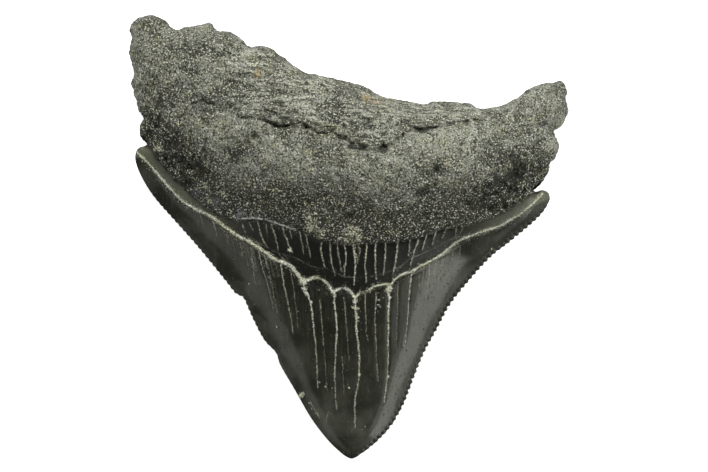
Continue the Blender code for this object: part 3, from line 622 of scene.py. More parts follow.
BOURLETTE_CRACKS = [
    (0.7, 1.2, [(-105, 13), (-103, 5)]), (0.7, 1.2, [(-98, 14), (-95, 7)]),
    (0.85, 1.3, [(-90, 15), (-86, -1), (-80, -11)]), (0.7, 1.2, [(-82, 12), (-80, 2)]),
    (0.9, 1.3, [(-76, 13), (-72, -1), (-69, -13)]), (0.9, 1.4, [(-65, 9), (-61, -3), (-56, -15)]),
    (0.7, 1.2, [(-58, 9), (-56, -1)]), (0.8, 1.3, [(-48, 5), (-44, -18)]),
    (0.85, 1.3, [(-42, 4), (-37, -21)]), (0.9, 1.4, [(-26, -5), (-27, -14), (-23, -31)]),
    (0.9, 1.4, [(-18, -5), (-17, -22), (-13, -38)]), (0.8, 1.2, [(-11, -5), (-9, -20), (-7, -33)]),
    (0.9, 1.4, [(-4, -6), (-2, -20), (-4, -38)]), (1.0, 1.5, [(5, -6), (7, -25), (6, -48)]),
    (0.7, 1.2, [(10, -6), (12, -14), (9, -25)]), (0.95, 1.5, [(19, -5), (17, -25), (18, -45)]),
    (0.9, 1.4, [(28, -4), (27, -20), (28, -43)]), (0.9, 1.4, [(37, -6), (37, -22), (35, -38)]),
    (0.95, 1.6, [(50, -1), (48, -20), (45, -38)]), (0.7, 1.2, [(62, -1), (60, -18)]),
    (0.9, 1.4, [(70, -3), (66, -15), (63, -27)]), (0.85, 1.3, [(79, 5), (74, -13)]),
    (0.8, 1.3, [(89, 11), (84, -8)]), (0.75, 1.2, [(98, 9), (94, -1)]), (0.7, 1.2, [(108, 11), (107, 2)]),
    (0.65, 1.2, [(116, 13), (112, 5)]), (0.6, 1.2, [(123, 17), (120, 11)]),
]
NECK_LINE = [(-210, 84), (-203, 77), (-196, 70), (-188, 60), (-178, 49), (-168, 38), (-158, 31), (-143, 24),
             (-133, 18), (-120, 8), (-108, 0), (-98, -5), (-86, -13), (-73, -22), (-63, -26), (-55, -31),
             (-49, -39), (-44, -44), (-39, -42), (-32, -40), (-25, -43), (-19, -48), (-15, -55), (-10, -52),
             (-3, -51), (2, -54), (7, -60), (12, -56), (19, -54), (27, -49), (37, -47), (43, -47),
             (47, -42), (54, -37), (64, -34), (72, -29), (84, -23), (94, -17), (102, -10), (112, -3), (127, 3),
             (142, 8), (152, 11), (162, 17), (172, 23), (182, 31), (190, 39), (194, 43)]
UPPER_LINE = [(-98, 0), (-84, -8), (-70, -16), (-52, -21), (-36, -29), (-18, -33), (0, -40), (30, -38),
              (52, -29), (64, -21), (82, -13), (96, -6), (110, 2)]
CRUMBLY_RIM = [(-112, 19), (-106, 18), (-96, 19), (-84, 18), (-71, 14), (-60, 10), (-52, 7)]
# Where minerals piled up, as (x, y, radius, strength).
NODULES = [
    (-45, -44, 5.0, 0.9), (-43, -52, 4.0, 0.8), (41, -52, 4.5, 0.8), (43, -50, 4.0, 0.7),
    (7, -64, 3.5, 0.8), (-58, -13, 3.5, 0.9), (-13, -58, 3.5, 0.7), (11, -137, 2.0, 1.0),
    (40, -140, 2.0, 1.0), (-50, -74, 1.1, 1.0), (-72, -90, 1.0, 0.9), (-28, -145, 1.0, 0.8),
    (1, -150, 1.1, 1.0), (-100, -47, 1.2, 0.8), (30, -68, 1.8, 0.8), (30, -74, 1.2, 0.7),
    (-18, -164, 1.2, 0.6), (144, -12, 1.8, 0.9), (-47, -158, 4.4, 0.8), (-22, -149, 2.0, 0.6),
    (-16, -151, 1.8, 0.6), (18, -189, 1.8, 0.6), (14, -193, 1.2, 0.5), (-40, -166, 0.9, 0.9),
    (-37, -171, 0.9, 0.9), (-32, -176, 0.9, 0.9), (-41, -172, 0.8, 0.8), (31, -62, 1.4, 0.7),
    (-30, -52, 1.8, 0.6), (35, -60, 1.6, 0.6), (4, -70, 2.4, 0.7), (10, -84, 2.2, 0.6),
    (8, -72, 2.8, 0.75), (9, -80, 2.4, 0.7), (9, -94, 2.2, 0.65), (-13, -66, 2.4, 0.75),
    (-12, -78, 2.2, 0.7), (-41, -57, 2.8, 0.8), (-38, -65, 2.4, 0.75), (-37, -74, 2.0, 0.6),
    (42, -60, 2.6, 0.75), (40, -70, 2.0, 0.65), (-12, -90, 1.8, 0.6), (40, -84, 1.6, 0.6),
    (30, -56, 2.0, 0.6), (32, -70, 2.4, 0.7), (-29, -60, 1.6, 0.55),
]
# Dark seams of painted shadow under the root's layers, in its furrows and along its lower margin, in the same
# form as the cracks.
ROOT_SHADOW_SEAMS = [
    (0.9, 1.7, [(-135, 133), (-121, 129), (-109, 129)]),
    (0.9, 2.0, [(-109, 126), (-94, 122), (-80, 116), (-69, 111)]),
    (0.8, 1.5, [(-87, 126), (-75, 124), (-59, 123), (-50, 121)]),
    (0.9, 2.2, [(-69, 110), (-59, 110), (-49, 108), (-39, 109)]),
    (0.8, 1.6, [(-50, 102), (-33, 101), (-18, 98), (-4, 95)]),
    (0.7, 1.4, [(-34, 104), (-21, 102), (-11, 103)]), (0.7, 1.3, [(-8, 110), (6, 111), (21, 109)]),
    (1.0, 2.4, [(3, 88), (15, 87), (27, 85), (36, 86)]),
    (1.0, 2.2, [(65, 108), (75, 105), (81, 108), (96, 110), (105, 113), (117, 114)]),
    (0.8, 1.6, [(44, 102), (56, 98), (62, 96)]), (0.8, 1.5, [(87, 109), (96, 114), (111, 117)]),
    (0.8, 1.6, [(-8, 101), (0, 96), (14, 93)]),
    (0.9, 1.6, [(-141, 139), (-135, 135), (-128, 131), (-121, 130), (-111, 129)]),
    (0.6, 1.2, [(-106, 126), (-96, 124), (-87, 123), (-75, 123), (-65, 124), (-56, 123)]),
    (0.95, 1.8, [(-103, 119), (-92, 118), (-83, 114), (-74, 113), (-69, 110), (-61, 110), (-53, 110)]),
    (0.8, 1.5, [(-53, 110), (-43, 107), (-34, 110)]),
    (0.85, 1.6, [(-50, 102), (-40, 102), (-30, 100), (-18, 98), (-6, 95), (1, 94)]),
    (0.6, 1.3, [(-27, 102), (-15, 107), (-4, 107)]), (0.6, 1.2, [(-9, 101), (-3, 104), (5, 103)]),
    (1.0, 2.3, [(2, 88), (9, 87), (18, 86), (27, 86), (37, 85)]),
    (0.5, 1.2, [(-9, 110), (7, 111), (21, 110), (36, 108), (48, 106), (57, 98)]),
    (0.9, 1.4, [(51, 115), (60, 111), (67, 109), (76, 111), (82, 109), (91, 108), (97, 109),
                (103, 112), (109, 115), (118, 115)]),
    (0.9, 1.5, [(65, 109), (68, 105), (74, 103), (80, 105), (86, 107)]),
    (0.4, 1.0, [(75, 115), (88, 117), (97, 115), (106, 117), (121, 122), (127, 120)]),
    (0.8, 1.6, [(2, 136), (13, 138)]), (0.6, 1.3, [(-104, 179), (-99, 174)]),
    (1.0, 2.4, [(-140, 98), (-144, 86), (-146, 80), (-149, 69), (-147, 64)]),
    (0.9, 2.4, [(-177, 99), (-172, 91), (-166, 77), (-165, 66), (-168, 57), (-165, 47)]),
    (0.7, 1.9, [(-157, 95), (-159, 86), (-157, 78)]), (0.6, 1.8, [(-103, 80), (-106, 69)]),
    (0.5, 1.0, [(-86, 152), (-50, 147), (-10, 141), (14, 138)]),
    (0.5, 1.0, [(-70, 140), (-40, 135), (-8, 128)]), (0.5, 1.0, [(20, 127), (50, 122), (80, 121)]),
    (0.8, 2.0, [(137, 44), (133, 34)]), (0.8, 2.0, [(152, 46), (157, 34)]),
    (0.7, 1.8, [(172, 74), (166, 62), (156, 52)]),
    (0.85, 1.8, [(-199, 91), (-190, 78), (-172, 56), (-150, 36), (-134, 25), (-118, 18)]),
    (0.6, 1.2, [(110, 10), (132, 15), (152, 22), (166, 29), (180, 39)]),
]
LABIAL_LINE = [(x, y - 2) for x, y in LABIAL_NECK]
LABIAL_CRACKS = [
    (0.8, 1.5, [(-92, 40), (-84, -10), (-70, -70)]), (0.7, 1.3, [(-30, 30), (-27, -50), (-14, -140)]),
    (0.9, 1.6, [(20, 28), (22, -40), (14, -150)]), (0.7, 1.3, [(84, 30), (74, -30), (58, -90)]),
    (0.6, 1.2, [(-150, 55), (-128, 8)]), (0.6, 1.2, [(140, 36), (120, 0)]),
    (0.6, 1.2, [(52, 30), (48, -60)]), (0.6, 1.2, [(-62, 36), (-58, -30)]),
]
FAR_AWAY, CRACK_REACH = 30.0, 9
# The columns of a crack field.
GAP, SIDE, WIDTH, SHARE = range(4)
# Sizes and heights of the lumps that bend a crack, in plan units.
WANDER_LUMPS, WANDER_GRAIN = (9.0, 0.5), (2.6, 0.4)
NECK_LINE_XS = (-210, -120, -70, -46, -20, 60, 110, 190)
NECK_LINE_WIDTHS = (2.2, 3.5, 3.9, 3.9, 2.7, 2.6, 2.6, 2.2)
NECK_LINE_LEAD = 1.5
RIDGE_WIDTH, CUT_WIDTH = 2.5, 1.6


def crack_fields(chosen, cracks, wander=1.0, fade=0.4):
    """The nearest crack of each chosen point: its distance, its side, its width and its strength there."""
    fields = np.tile([FAR_AWAY, FAR_AWAY, 1.0, 0.0], (len(plan), 1))
    for number, (strength, width, line) in enumerate(cracks):
        curve = smooth_line(line, 5)
        low, high = curve.min(axis=0) - CRACK_REACH, curve.max(axis=0) + CRACK_REACH
        near = np.flatnonzero(chosen & np.all((plan > low) & (plan < high), axis=1))
        at = plan[near].copy()
        upright = np.column_stack([0 * at[:, 0], at[:, 1]])
        at[:, 0] += wander * (WANDER_LUMPS[1] * lumps(upright, WANDER_LUMPS[0], 50 + number)
                              + WANDER_GRAIN[1] * lumps(upright, WANDER_GRAIN[0], 80 + number))
        far, place, _, lean = nearest(at, curve)
        thinned = 1 - fade * ease(place / np.linalg.norm(np.diff(curve, axis=0), axis=1).sum())
        found = np.column_stack([far, far * lean, width * thinned, strength * thinned])
        closer = far < fields[near, GAP]
        fields[near[closer]] = found[closer]
    return fields


def nearer(first, second):
    """Of two fields, the one whose crack is nearer."""
    return np.where(first[:, :1] < second[:, :1], first, second)


def ridge(fields, width):
    """A rounded ridge along the lines of a field, as high as each is strong."""
    return np.exp(-((fields[:, GAP] / width) ** 2)) * fields[:, SHARE]


crown_cracks = crack_fields(upper & (neck_gap < 3), CROWN_CRACKS)
band_cracks = crack_fields(upper & (neck_gap > -6) & (margin_gap < 8), BOURLETTE_CRACKS, 1.3, 0.2)
back_cracks = crack_fields(side < 0, LABIAL_CRACKS)
cracks = nearer(nearer(crown_cracks, band_cracks), back_cracks)
neck_line = crack_fields(upper, [(1.0, 1.0, NECK_LINE)], 0.5, 0.0)
neck_line[:, WIDTH] = np.interp(plan[:, 0], NECK_LINE_XS, NECK_LINE_WIDTHS)
other_lines = nearer(crack_fields(upper, [(0.3, 1.0, UPPER_LINE), (1.0, 2.2, CRUMBLY_RIM)], 1.0, 0.0),
                     crack_fields(side < 0, [(0.9, 1.4, LABIAL_LINE)], 1.0, 0.0))
neck_leads = neck_line[:, GAP] < other_lines[:, GAP] + NECK_LINE_LEAD
neck_line = np.where(neck_leads[:, None], neck_line, other_lines)
neck_ridge = ridge(neck_line, RIDGE_WIDTH)
crack_cut = ridge(crown_cracks, CUT_WIDTH)
band_rise = ridge(band_cracks, CUT_WIDTH)
# The seams are lines of painted shadow under the root's layers, in its furrows and along its lower margin.
seams = crack_fields(upper & (margin_gap > -4), ROOT_SHADOW_SEAMS, 0.0, 0.3)
nodules = np.where(upper, blobs(wobbly, NODULES), 0)
print("points on a crack:", int((cracks[:, GAP] < 1).sum()))

# %% [markdown]
# ## Shape the skin
#
# Now the flat sheets get their heights. The lumps of the root come in sizes, from about four millimetres
# down to a coarse grain, because worn bone is rough at every scale. This could be sculpted with a brush.
# In a script, moving the points by the same maps does it and gives the same tooth every time.

# %% Raise the two sheets
ROOT_LUMPS = [(34.0, 0.35), (13.0, 0.32), (6.0, 0.2), (3.2, 0.13)]
LAMINA_SIZE, LAMINA_RISE = 3.0, 0.3
LAMINA_BELOW, LAMINA_FADE = 6.0, 10.0
LAMINA_HALF_WIDTH, LAMINA_SIDE_FADE = 150.0, 40.0
OUTLINE_LUMPS = (18.0, 1.2)
OUTLINE_GRAIN, OUTLINE_GRAIN_REACH = (3.4, 0.9), 6.0
CROWN_LUMPS = (60.0, 0.06)
LABIAL_STEP, LABIAL_ROUGHNESS = 0.25, 0.5
NECK_RIDGE, CRACK_CUT, BAND_VEIN_RISE = 0.1, 0.04, 0.05
ENAMEL_STEP, ENAMEL_STEP_WIDTH = 0.2, 2.0

rough = sum(height * lumps(plan, size, size) for size, height in ROOT_LUMPS)
crown_rough = CROWN_LUMPS[1] * lumps(plan, CROWN_LUMPS[0])

lingual = relief(LINGUAL_SPOTS, plan) + ROOT_STEP * root_share
lingual += ENAMEL_STEP * ease(0.5 - neck_gap / ENAMEL_STEP_WIDTH)
ledge_side = signed(wobbly, LEDGE)
ledge = ease(1 - np.abs(ledge_side) / LEDGE_REACH) * ease(ledge_side / LEDGE_WIDTH)
lingual += LEDGE_RISE * unevenness * ledge
layered = ease((ledge_side + LAMINA_BELOW) / LAMINA_FADE)
layered *= ease((LAMINA_HALF_WIDTH - np.abs(plan[:, 0])) / LAMINA_SIDE_FADE)
lamina = lumps(np.column_stack([plan[:, 0], ledge_side]), LAMINA_SIZE, 45.0, (8.0, 1.0))
lingual += LAMINA_RISE * layered * lamina
lingual += root_share * (rough - hollow_depth) + (1 - root_share) * crown_rough
lingual += NECK_RIDGE * neck_ridge - CRACK_CUT * crack_cut + BAND_VEIN_RISE * band_rise
bevels = smooth_line(list(zip(BLADE_HEIGHTS, BLADE_BEVELS)))
strips = smooth_line(list(zip(BLADE_HEIGHTS, BLADE_STRIPS)))
flank_gaps = [nearest(plan, smooth_line(line))[0] for line in (LEFT_FLANK, RIGHT_FLANK)]
blade_gap = rim_gap + ease(rim_gap / FLANK_BLEND) * (np.minimum(*flank_gaps) - rim_gap)
lingual_blade = flank(blade_gap, np.interp(plan[:, 1], *bevels.T), np.interp(plan[:, 1], *strips.T))
lingual_profile = root_share * round_over(rim_gap / ROOT_ROUNDING) + (1 - root_share) * lingual_blade

labial = relief(LABIAL_SPOTS, plan) + LABIAL_STEP * root_share
labial -= root_share * LABIAL_ROUGHNESS * rough - blobs(plan, LABIAL_PITS)
labial_profile = (root_share * round_over(rim_gap / LABIAL_ROUNDING)
                  + (1 - root_share) * round_over(rim_gap / LABIAL_BEVEL))

profile = np.where(side < 0, labial_profile, lingual_profile)
height = rim_height + (np.where(side < 0, labial, lingual) - rim_height) * profile
height += side * root_share * rough * (1 - profile) + side * serration_rise

shaped = plan + serration_shift
outer_root = ease(margin_gap / ROOT_STEP_WIDTH) * ease(1 - rim_gap / OUTLINE_LUMPS[0])
rim_root = ease(margin_gap / ROOT_STEP_WIDTH) * ease(1 - rim_gap / OUTLINE_GRAIN_REACH)
for axis, layer in ((0, 1.0), (1, 2.0)):
    shaped[:, axis] += OUTLINE_LUMPS[1] * outer_root * lumps(plan, OUTLINE_LUMPS[0] / 2, layer)
    shaped[:, axis] += OUTLINE_GRAIN[1] * rim_root * lumps(plan, OUTLINE_GRAIN[0], 20 + layer)
shaped = np.column_stack([shaped * UNIT, np.maximum(height, 0) * MM])
shaped[:, :2] -= (shaped[:, :2].min(axis=0) + shaped[:, :2].max(axis=0)) / 2
skin.data.vertices.foreach_set("co", shaped.ravel())
skin.data.update()
print("skin in mm:", [round(side_length / MM, 2) for side_length in np.ptp(shaped, axis=0)])

# %% [markdown]
# ## The root's grain
#
# Fossil bone is full of tiny pores. Two Displace modifiers push the root's points along their normals
# by a cloud texture, a coarser and a finer one. A vertex group keeps them off the smooth enamel and off
# the low spots that the tooth rests on.

# %% Roughen the root with Displace modifiers
# Each layer is its name, its size and its strength.
GRAIN_LAYERS = [("coarse_grain", 0.42 * MM, 0.16 * MM), ("fine_grain", 0.22 * MM, 0.10 * MM)]
WEIGHT_STEPS = 10
RESTING_HEIGHT = 0.05 * MM
SMOOTH_ANGLE = 1.2

grainy = skin.vertex_groups.new(name="rough_root")
grain_share = root_share * np.where(shaped[:, 2] < RESTING_HEIGHT, 0, 1)
for step in range(1, WEIGHT_STEPS + 1):
    members = np.flatnonzero(np.round(grain_share * WEIGHT_STEPS) == step)
    grainy.add([int(i) for i in members], step / WEIGHT_STEPS, "REPLACE")
bpy.ops.object.select_all(action="DESELECT")
skin.select_set(True)
bpy.context.view_layer.objects.active = skin
for name, size, strength in GRAIN_LAYERS:
    texture = bpy.data.textures.new(name, "CLOUDS")
    texture.noise_scale = size
    texture.noise_depth = 1
    displace = skin.modifiers.new(name, "DISPLACE")
    displace.texture, displace.texture_coords = texture, "LOCAL"
    displace.vertex_group, displace.strength, displace.mid_level = "rough_root", strength, 0.5
    bpy.ops.object.modifier_apply(modifier=name)
bpy.ops.object.mode_set(mode="EDIT")
bpy.ops.mesh.select_all(action="SELECT")
bpy.ops.mesh.quads_convert_to_tris()
bpy.ops.object.mode_set(mode="OBJECT")
bpy.ops.object.shade_smooth_by_angle(angle=SMOOTH_ANGLE)
print("triangles:", len(skin.data.polygons))

# %% [markdown]
# ## Masks for the material
#
# One material covers the whole tooth, since its finishes run into each other. It reads masks that are stored
# on the skin: where it is root or bourlette, how strong a crack is, where shade is painted into the hollows,
# the low places and the underside of the bone, where the bone is layered, and where sand, rust and a bluish
# mineral skin have settled. Haze and striae are faint marks on the enamel.

# %% Place the spots of the masks
# Each spot is (x, y, radius, strength).
SAND_SPOTS = [
    (-36, 12, 8, 1.0), (-28, 4, 7, 1.0), (-40, 20, 6, 0.9), (4, 4, 9, 1.0), (0, -2, 6, 1.0),
    (10, 0, 6, 0.9), (-130, 52, 6, 0.6), (-126, 44, 5, 0.7), (-190, 88, 5, 0.9), (-180, 84, 4, 0.7),
    (102, 74, 7, 0.7), (-92, 172, 5, 0.9), (160, 118, 6, 0.6), (172, 104, 7, 0.5), (168, 140, 6, 0.6),
    (120, 84, 7, 0.5), (-128, 124, 6, 0.5), (-160, 104, 8, 0.4), (-178, 160, 10, 0.4),
    (-70, 90, 14, 0.35), (176, 88, 8, 0.4), (-58, 140, 8, 0.4), (26, 20, 10, 0.3), (110, 30, 8, 0.4),
    (-160, 64, 6, 0.4), (-141, 52, 4, 0.9), (-138, 43, 4, 0.9), (-138, 37, 4, 0.8),
]
RUST_SPOTS = [
    (-90, 162, 7, 1.0), (-56, 145, 5, 0.5), (18, 138, 7, 1.0), (28, 135, 8, 0.8), (-40, 154, 5, 0.4),
    (97, 74, 7, 0.7), (126, 119, 4, 0.5), (176, 96, 6, 0.4), (-58, 92, 6, 0.35),
]
BLUE_SPOTS = [
    (-150, 44, 12, 0.7), (-130, 34, 12, 0.7), (-108, 22, 10, 0.8), (-90, 19, 10, 0.7), (-70, 16, 8, 0.6),
    (120, 28, 12, 0.5), (100, 24, 12, 0.4), (140, 24, 9, 0.6), (-120, 170, 20, 0.4), (150, 140, 10, 0.4),
    (30, 110, 14, 0.3),
]
# Where shade is painted on the root: its underside and its lower corners.
SHADE_SPOTS = [
    (-190, 180, 50, 0.3),
    (-160, 62, 22, 0.8), (-120, 44, 22, 0.7), (-60, 30, 26, 0.7), (-8, 28, 26, 0.8), (50, 20, 26, 0.6),
    (120, 44, 22, 0.5), (160, 50, 22, 0.9), (-110, 84, 12, 0.35), (-30, 44, 22, 0.5), (-190, 118, 12, 0.6),
    (8, 108, 16, 0.35), (-60, 112, 10, 0.3),
]
# Pits and hollows where shade is painted.
PIT_SHADE_SPOTS = [
    (-41, 153, 2.2, 1.0), (-59, 123, 3.0, 0.8), (-54, 121, 2.0, 0.7), (-188, 133, 5.0, 0.7),
    (-192, 138, 3.0, 0.8), (-124, 132, 3.0, 0.8), (-118, 133, 2.4, 0.8), (-111, 130, 2.4, 0.6),
    (-147, 70, 3.4, 1.0), (-150, 62, 4.0, 1.0), (-144, 88, 3.0, 0.9), (-143, 98, 2.2, 0.8),
    (-163, 86, 3.6, 0.9), (-172, 92, 3.2, 0.8), (-160, 56, 4.4, 0.9), (-166, 64, 3.0, 0.8),
    (-108, 82, 5.0, 0.6), (-104, 76, 3.6, 0.7), (-93, 98, 3.0, 0.8), (-207, 152, 3.4, 0.7),
    (-203, 140, 2.4, 0.6), (-116, 126, 2.0, 0.6), (-176, 78, 3.0, 0.7), (-135, 70, 3.4, 0.5),
    (-128, 88, 3.0, 0.5), (-22, 35, 4.0, 0.8), (-60, 30, 3.6, 0.5), (1, 22, 4.0, 0.9), (2, 14, 2.6, 0.9),
    (71, 44, 3.4, 1.0), (72, 36, 2.4, 1.0), (86, 66, 3.8, 0.9), (88, 58, 2.4, 0.8), (84, 50, 2.2, 0.7),
    (112, 91, 2.6, 1.0), (120, 34, 2.4, 0.8), (128, 36, 3.0, 0.7), (143, 52, 4.4, 1.0),
    (148, 60, 4.0, 0.9), (166, 56, 6.0, 1.0), (174, 66, 4.6, 1.0), (158, 38, 3.4, 0.8),
    (136, 30, 3.4, 0.7), (150, 34, 3.0, 0.7), (166, 40, 3.0, 0.6), (136, 105, 3.0, 0.5),
    (-190, 100, 3.0, 0.7), (-182, 96, 2.6, 0.7), (30, 86, 2.4, 0.6), (36, 94, 1.8, 0.6),
    (-10, 100, 2.0, 0.5), (206, 120, 2.6, 0.6), (8, 106, 3.2, 0.8), (12, 100, 2.6, 0.7),
    (126, 116, 2.6, 0.9), (117, 112, 2.4, 0.7),
]
HAZE_SPOTS = [
    (-18, -178, 26, 0.9), (12, -192, 20, 0.9), (-52, -128, 22, 0.6), (-80, -92, 24, 0.5),
    (-100, -55, 26, 0.45), (-150, -2, 28, 0.5), (-196, 62, 16, 0.4), (96, -30, 22, 0.5),
    (140, 4, 24, 0.4), (0, -140, 30, 0.25),
]
spot_lists = (SAND_SPOTS, RUST_SPOTS, BLUE_SPOTS, SHADE_SPOTS, PIT_SHADE_SPOTS, HAZE_SPOTS)
print("spots:", sum(len(spots) for spots in spot_lists))

# %% Store the masks
UNDERSIDE_END, UNDERSIDE_FADE, UNDERSIDE_SHARE = 55.1, 38.0, 0.95
LOW_LEVEL, LOW_FADE = 0.14, 0.4
FULL_DEPTH, FULL_LABIAL_DEPTH = 0.7, 0.5
NECK_FADE = 2.0
STRIAE_BELOW, STRIAE_FADE = 75.0, 70.0
STRIAE_LEFT_END, STRIAE_SIDE_FADE = 40.0, 30.0
CENTRE_X, CENTRE_HALF_WIDTH, CENTRE_FADE = 4.0, 165.0, 75.0
# The even values that the labial face gets.
LABIAL_SHADE, LABIAL_LOW_SHADE, LABIAL_HAZE = 0.2, 0.4, 0.3

# Painted shade: on the root's underside, in its low places, and in its hollows and pits.
underside_shade = UNDERSIDE_SHARE * ease((UNDERSIDE_END - margin_gap) / UNDERSIDE_FADE)
low_bone_shade = ease((LOW_LEVEL - rough - LAMINA_RISE * layered * lamina) / LOW_FADE)
lingual_hollow = np.maximum(np.clip(hollow_depth / FULL_DEPTH, 0, 1), blobs(wobbly, PIT_SHADE_SPOTS))
labial_hollow = np.clip(blobs(plan, LABIAL_PITS) / FULL_LABIAL_DEPTH, 0, 1)
striae = (ease((neck_gap + STRIAE_BELOW) / STRIAE_FADE)
          * ease((plan[:, 0] - STRIAE_LEFT_END) / STRIAE_SIDE_FADE))
centre_share = ease((CENTRE_HALF_WIDTH - np.abs(plan[:, 0] - CENTRE_X)) / CENTRE_FADE)
masks = {
    "root": root_share,
    "bourlette": np.where(upper, ease(neck_gap / NECK_FADE + 0.5) * (1 - root_share), 0),
    "nodule": nodules,
    "serration": serration_place,
    "serration_left": serration_left,
    # Painted shade in the hollows and pits.
    "hollow": np.where(upper, lingual_hollow, labial_hollow),
    "sand": np.where(upper, blobs(wobbly, SAND_SPOTS), 0),
    "rust": np.where(upper, blobs(wobbly, RUST_SPOTS), 0),
    "blue": np.where(upper, blobs(wobbly, BLUE_SPOTS), 0),
    # Painted shade on the root's underside and lower corners.
    "dim": np.where(upper, np.maximum(blobs(wobbly, SHADE_SPOTS), underside_shade), LABIAL_SHADE),
    "layered": np.where(upper, layered, 0),
    # Painted shade in the bone's low places.
    "low": np.where(upper, low_bone_shade, LABIAL_LOW_SHADE),
    "haze": np.where(upper, blobs(plan, HAZE_SPOTS), LABIAL_HAZE),
    "striated": np.where(upper, striae, 0),
    "centre": np.where(upper, centre_share, 0),
}
for kind, fields in (("crack", cracks), ("line", neck_line), ("seam", seams)):
    masks |= dict(zip((kind + "_gap", kind + "_side", kind + "_width", kind + "_share"), fields.T))
for name, values in masks.items():
    layer = skin.data.attributes.new(name, "FLOAT", "POINT")
    layer.data.foreach_set("value", values.astype(np.float32))
print("masks:", ", ".join(masks))

# %% [markdown]
# ## Materials
#
# Two effects are node groups. Grain makes pale specks and dark pores from noise at the root's own scale,
# harsher where its contrast is high, and both the root's colour and its bump read it. Breakup makes a
# clean mask ragged, as a natural stain's edge is.

# %% Build short ways to wire nodes


class Wiring:
    """Short ways to add and join nodes in one node tree."""

    def __init__(self, tree):
        self.tree = tree
        self.made = 0

    def add(self, kind, inputs=None, **settings):
        """Adds a node with these settings, and feeds its inputs, which are given by their labels."""
        node = self.tree.nodes.new(kind)
        node.location = (-400 + 220 * (self.made // 6), 400 - 190 * (self.made % 6))
        self.made += 1
        for key, value in settings.items():
            setattr(node, key, value)
        for label, source in (inputs or {}).items():
            self.feed(node.inputs[label], source)
        return node

    def feed(self, socket, source):
        """Sets a socket to a number or colour, or joins another socket to it."""
        if isinstance(source, bpy.types.NodeSocket):
            self.tree.links.new(source, socket)
        else:
            socket.default_value = source

    def math(self, operation, first, second=0.0, clamp=False):
        node = self.add("ShaderNodeMath", {0: first, 1: second}, operation=operation, use_clamp=clamp)
        return node.outputs[0]

    def times(self, first, second, clamp=False):
        return self.math("MULTIPLY", first, second, clamp)

    def most(self, first, second):
        return self.math("MAXIMUM", first, second)

    def noise(self, vector, scale, detail, roughness):
        inputs = {"Vector": vector, "Scale": scale, "Detail": detail, "Roughness": roughness}
        return self.add("ShaderNodeTexNoise", inputs).outputs["Fac"]

    def step(self, value, low, high, bottom=0.0, top=1.0):
        """Maps low..high smoothly to bottom..top."""
        inputs = {"Value": value, "From Min": low, "From Max": high, "To Min": bottom, "To Max": top}
        return self.add("ShaderNodeMapRange", inputs, interpolation_type="SMOOTHSTEP").outputs["Result"]

    def mix(self, share, first, second, kind="RGBA"):
        """Mixes two colours."""
        node = self.add("ShaderNodeMix", {"Factor": share, "A": first, "B": second}, data_type=kind)
        return node.outputs["Result"]

    def blend(self, share, first, second):
        """Mixes two numbers."""
        return self.mix(share, first, second, "FLOAT")

    def layers(self, tone, coats):
        """A colour with coats laid over it in their order, each a share and a colour."""
        for share, coat in coats:
            tone = self.mix(share, tone, coat)
        return tone

    def mask(self, name):
        return self.add("ShaderNodeAttribute", attribute_name=name).outputs["Fac"]

    def scaled(self, vector, scale):
        return self.add("ShaderNodeMapping", {"Vector": vector, "Scale": scale}).outputs["Vector"]


def new_group(name, inputs, outputs):
    """A shader node group that reads a Vector and these numbers, with its entry and its way out."""
    group = bpy.data.node_groups.new(name, "ShaderNodeTree")
    group.interface.new_socket("Vector", in_out="INPUT", socket_type="NodeSocketVector")
    for label, value in inputs.items():
        socket = group.interface.new_socket(label, in_out="INPUT", socket_type="NodeSocketFloat")
        socket.default_value = value
    for label in outputs:
        group.interface.new_socket(label, in_out="OUTPUT", socket_type="NodeSocketFloat")
    entry, leave = group.nodes.new("NodeGroupInput"), group.nodes.new("NodeGroupOutput")
    entry.location, leave.location = (-600, 0), (900, 0)
    return group, entry.outputs, leave.inputs


print("helpers:", ", ".join(name for name in vars(Wiring) if not name.startswith("_")))

# %% Build the node groups
# Noise of a second and a third size, as shares of the first.
PORE_SIZE, MOTTLE_SIZE = 0.83, 1.4
PORE_HEIGHT = 0.6
# Where specks and pores start and where they are full, on soft and then on harsh bone.
SPECK_START, SPECK_FULL = (0.55, 0.555), (0.65, 0.60)
PORE_START, PORE_FULL = (0.48, 0.535), (0.37, 0.475)

grain_group, entry, leave = new_group("bone_grain", {"Size": 4.0, "Contrast": 0.0},
                                      ("Specks", "Pores", "Mottle", "Height"))
wire = Wiring(grain_group)
size, contrast = entry["Size"], entry["Contrast"]
specks = wire.noise(entry["Vector"], size, 2.0, 0.65)
pores = wire.noise(entry["Vector"], wire.times(size, PORE_SIZE), 2.0, 0.6)
mottle = wire.noise(entry["Vector"], wire.times(size, MOTTLE_SIZE), 1.0, 0.5)
speck_limits = [wire.blend(contrast, *limit) for limit in (SPECK_START, SPECK_FULL)]
pore_limits = [wire.blend(contrast, *limit) for limit in (PORE_START, PORE_FULL)]
wire.feed(leave["Specks"], wire.step(specks, *speck_limits))
wire.feed(leave["Pores"], wire.step(pores, *pore_limits))
wire.feed(leave["Mottle"], wire.step(mottle, 0.32, 0.68))
wire.feed(leave["Height"], wire.math("ADD", specks, wire.times(pores, PORE_HEIGHT)))

breakup_group, entry, leave = new_group(
    "breakup", {"Mask": 0.0, "Size": 3.0, "Amount": 0.5, "Low": 0.4, "High": 0.6}, ("Mask",))
wire = Wiring(breakup_group)
cloudiness = wire.math("SUBTRACT", wire.noise(entry["Vector"], entry["Size"], 3.0, 0.6), 0.5)
shifted = wire.math("ADD", entry["Mask"], wire.times(cloudiness, entry["Amount"]))
wire.feed(leave["Mask"], wire.step(shifted, entry["Low"], entry["High"]))
print("groups:", grain_group.name, breakup_group.name)

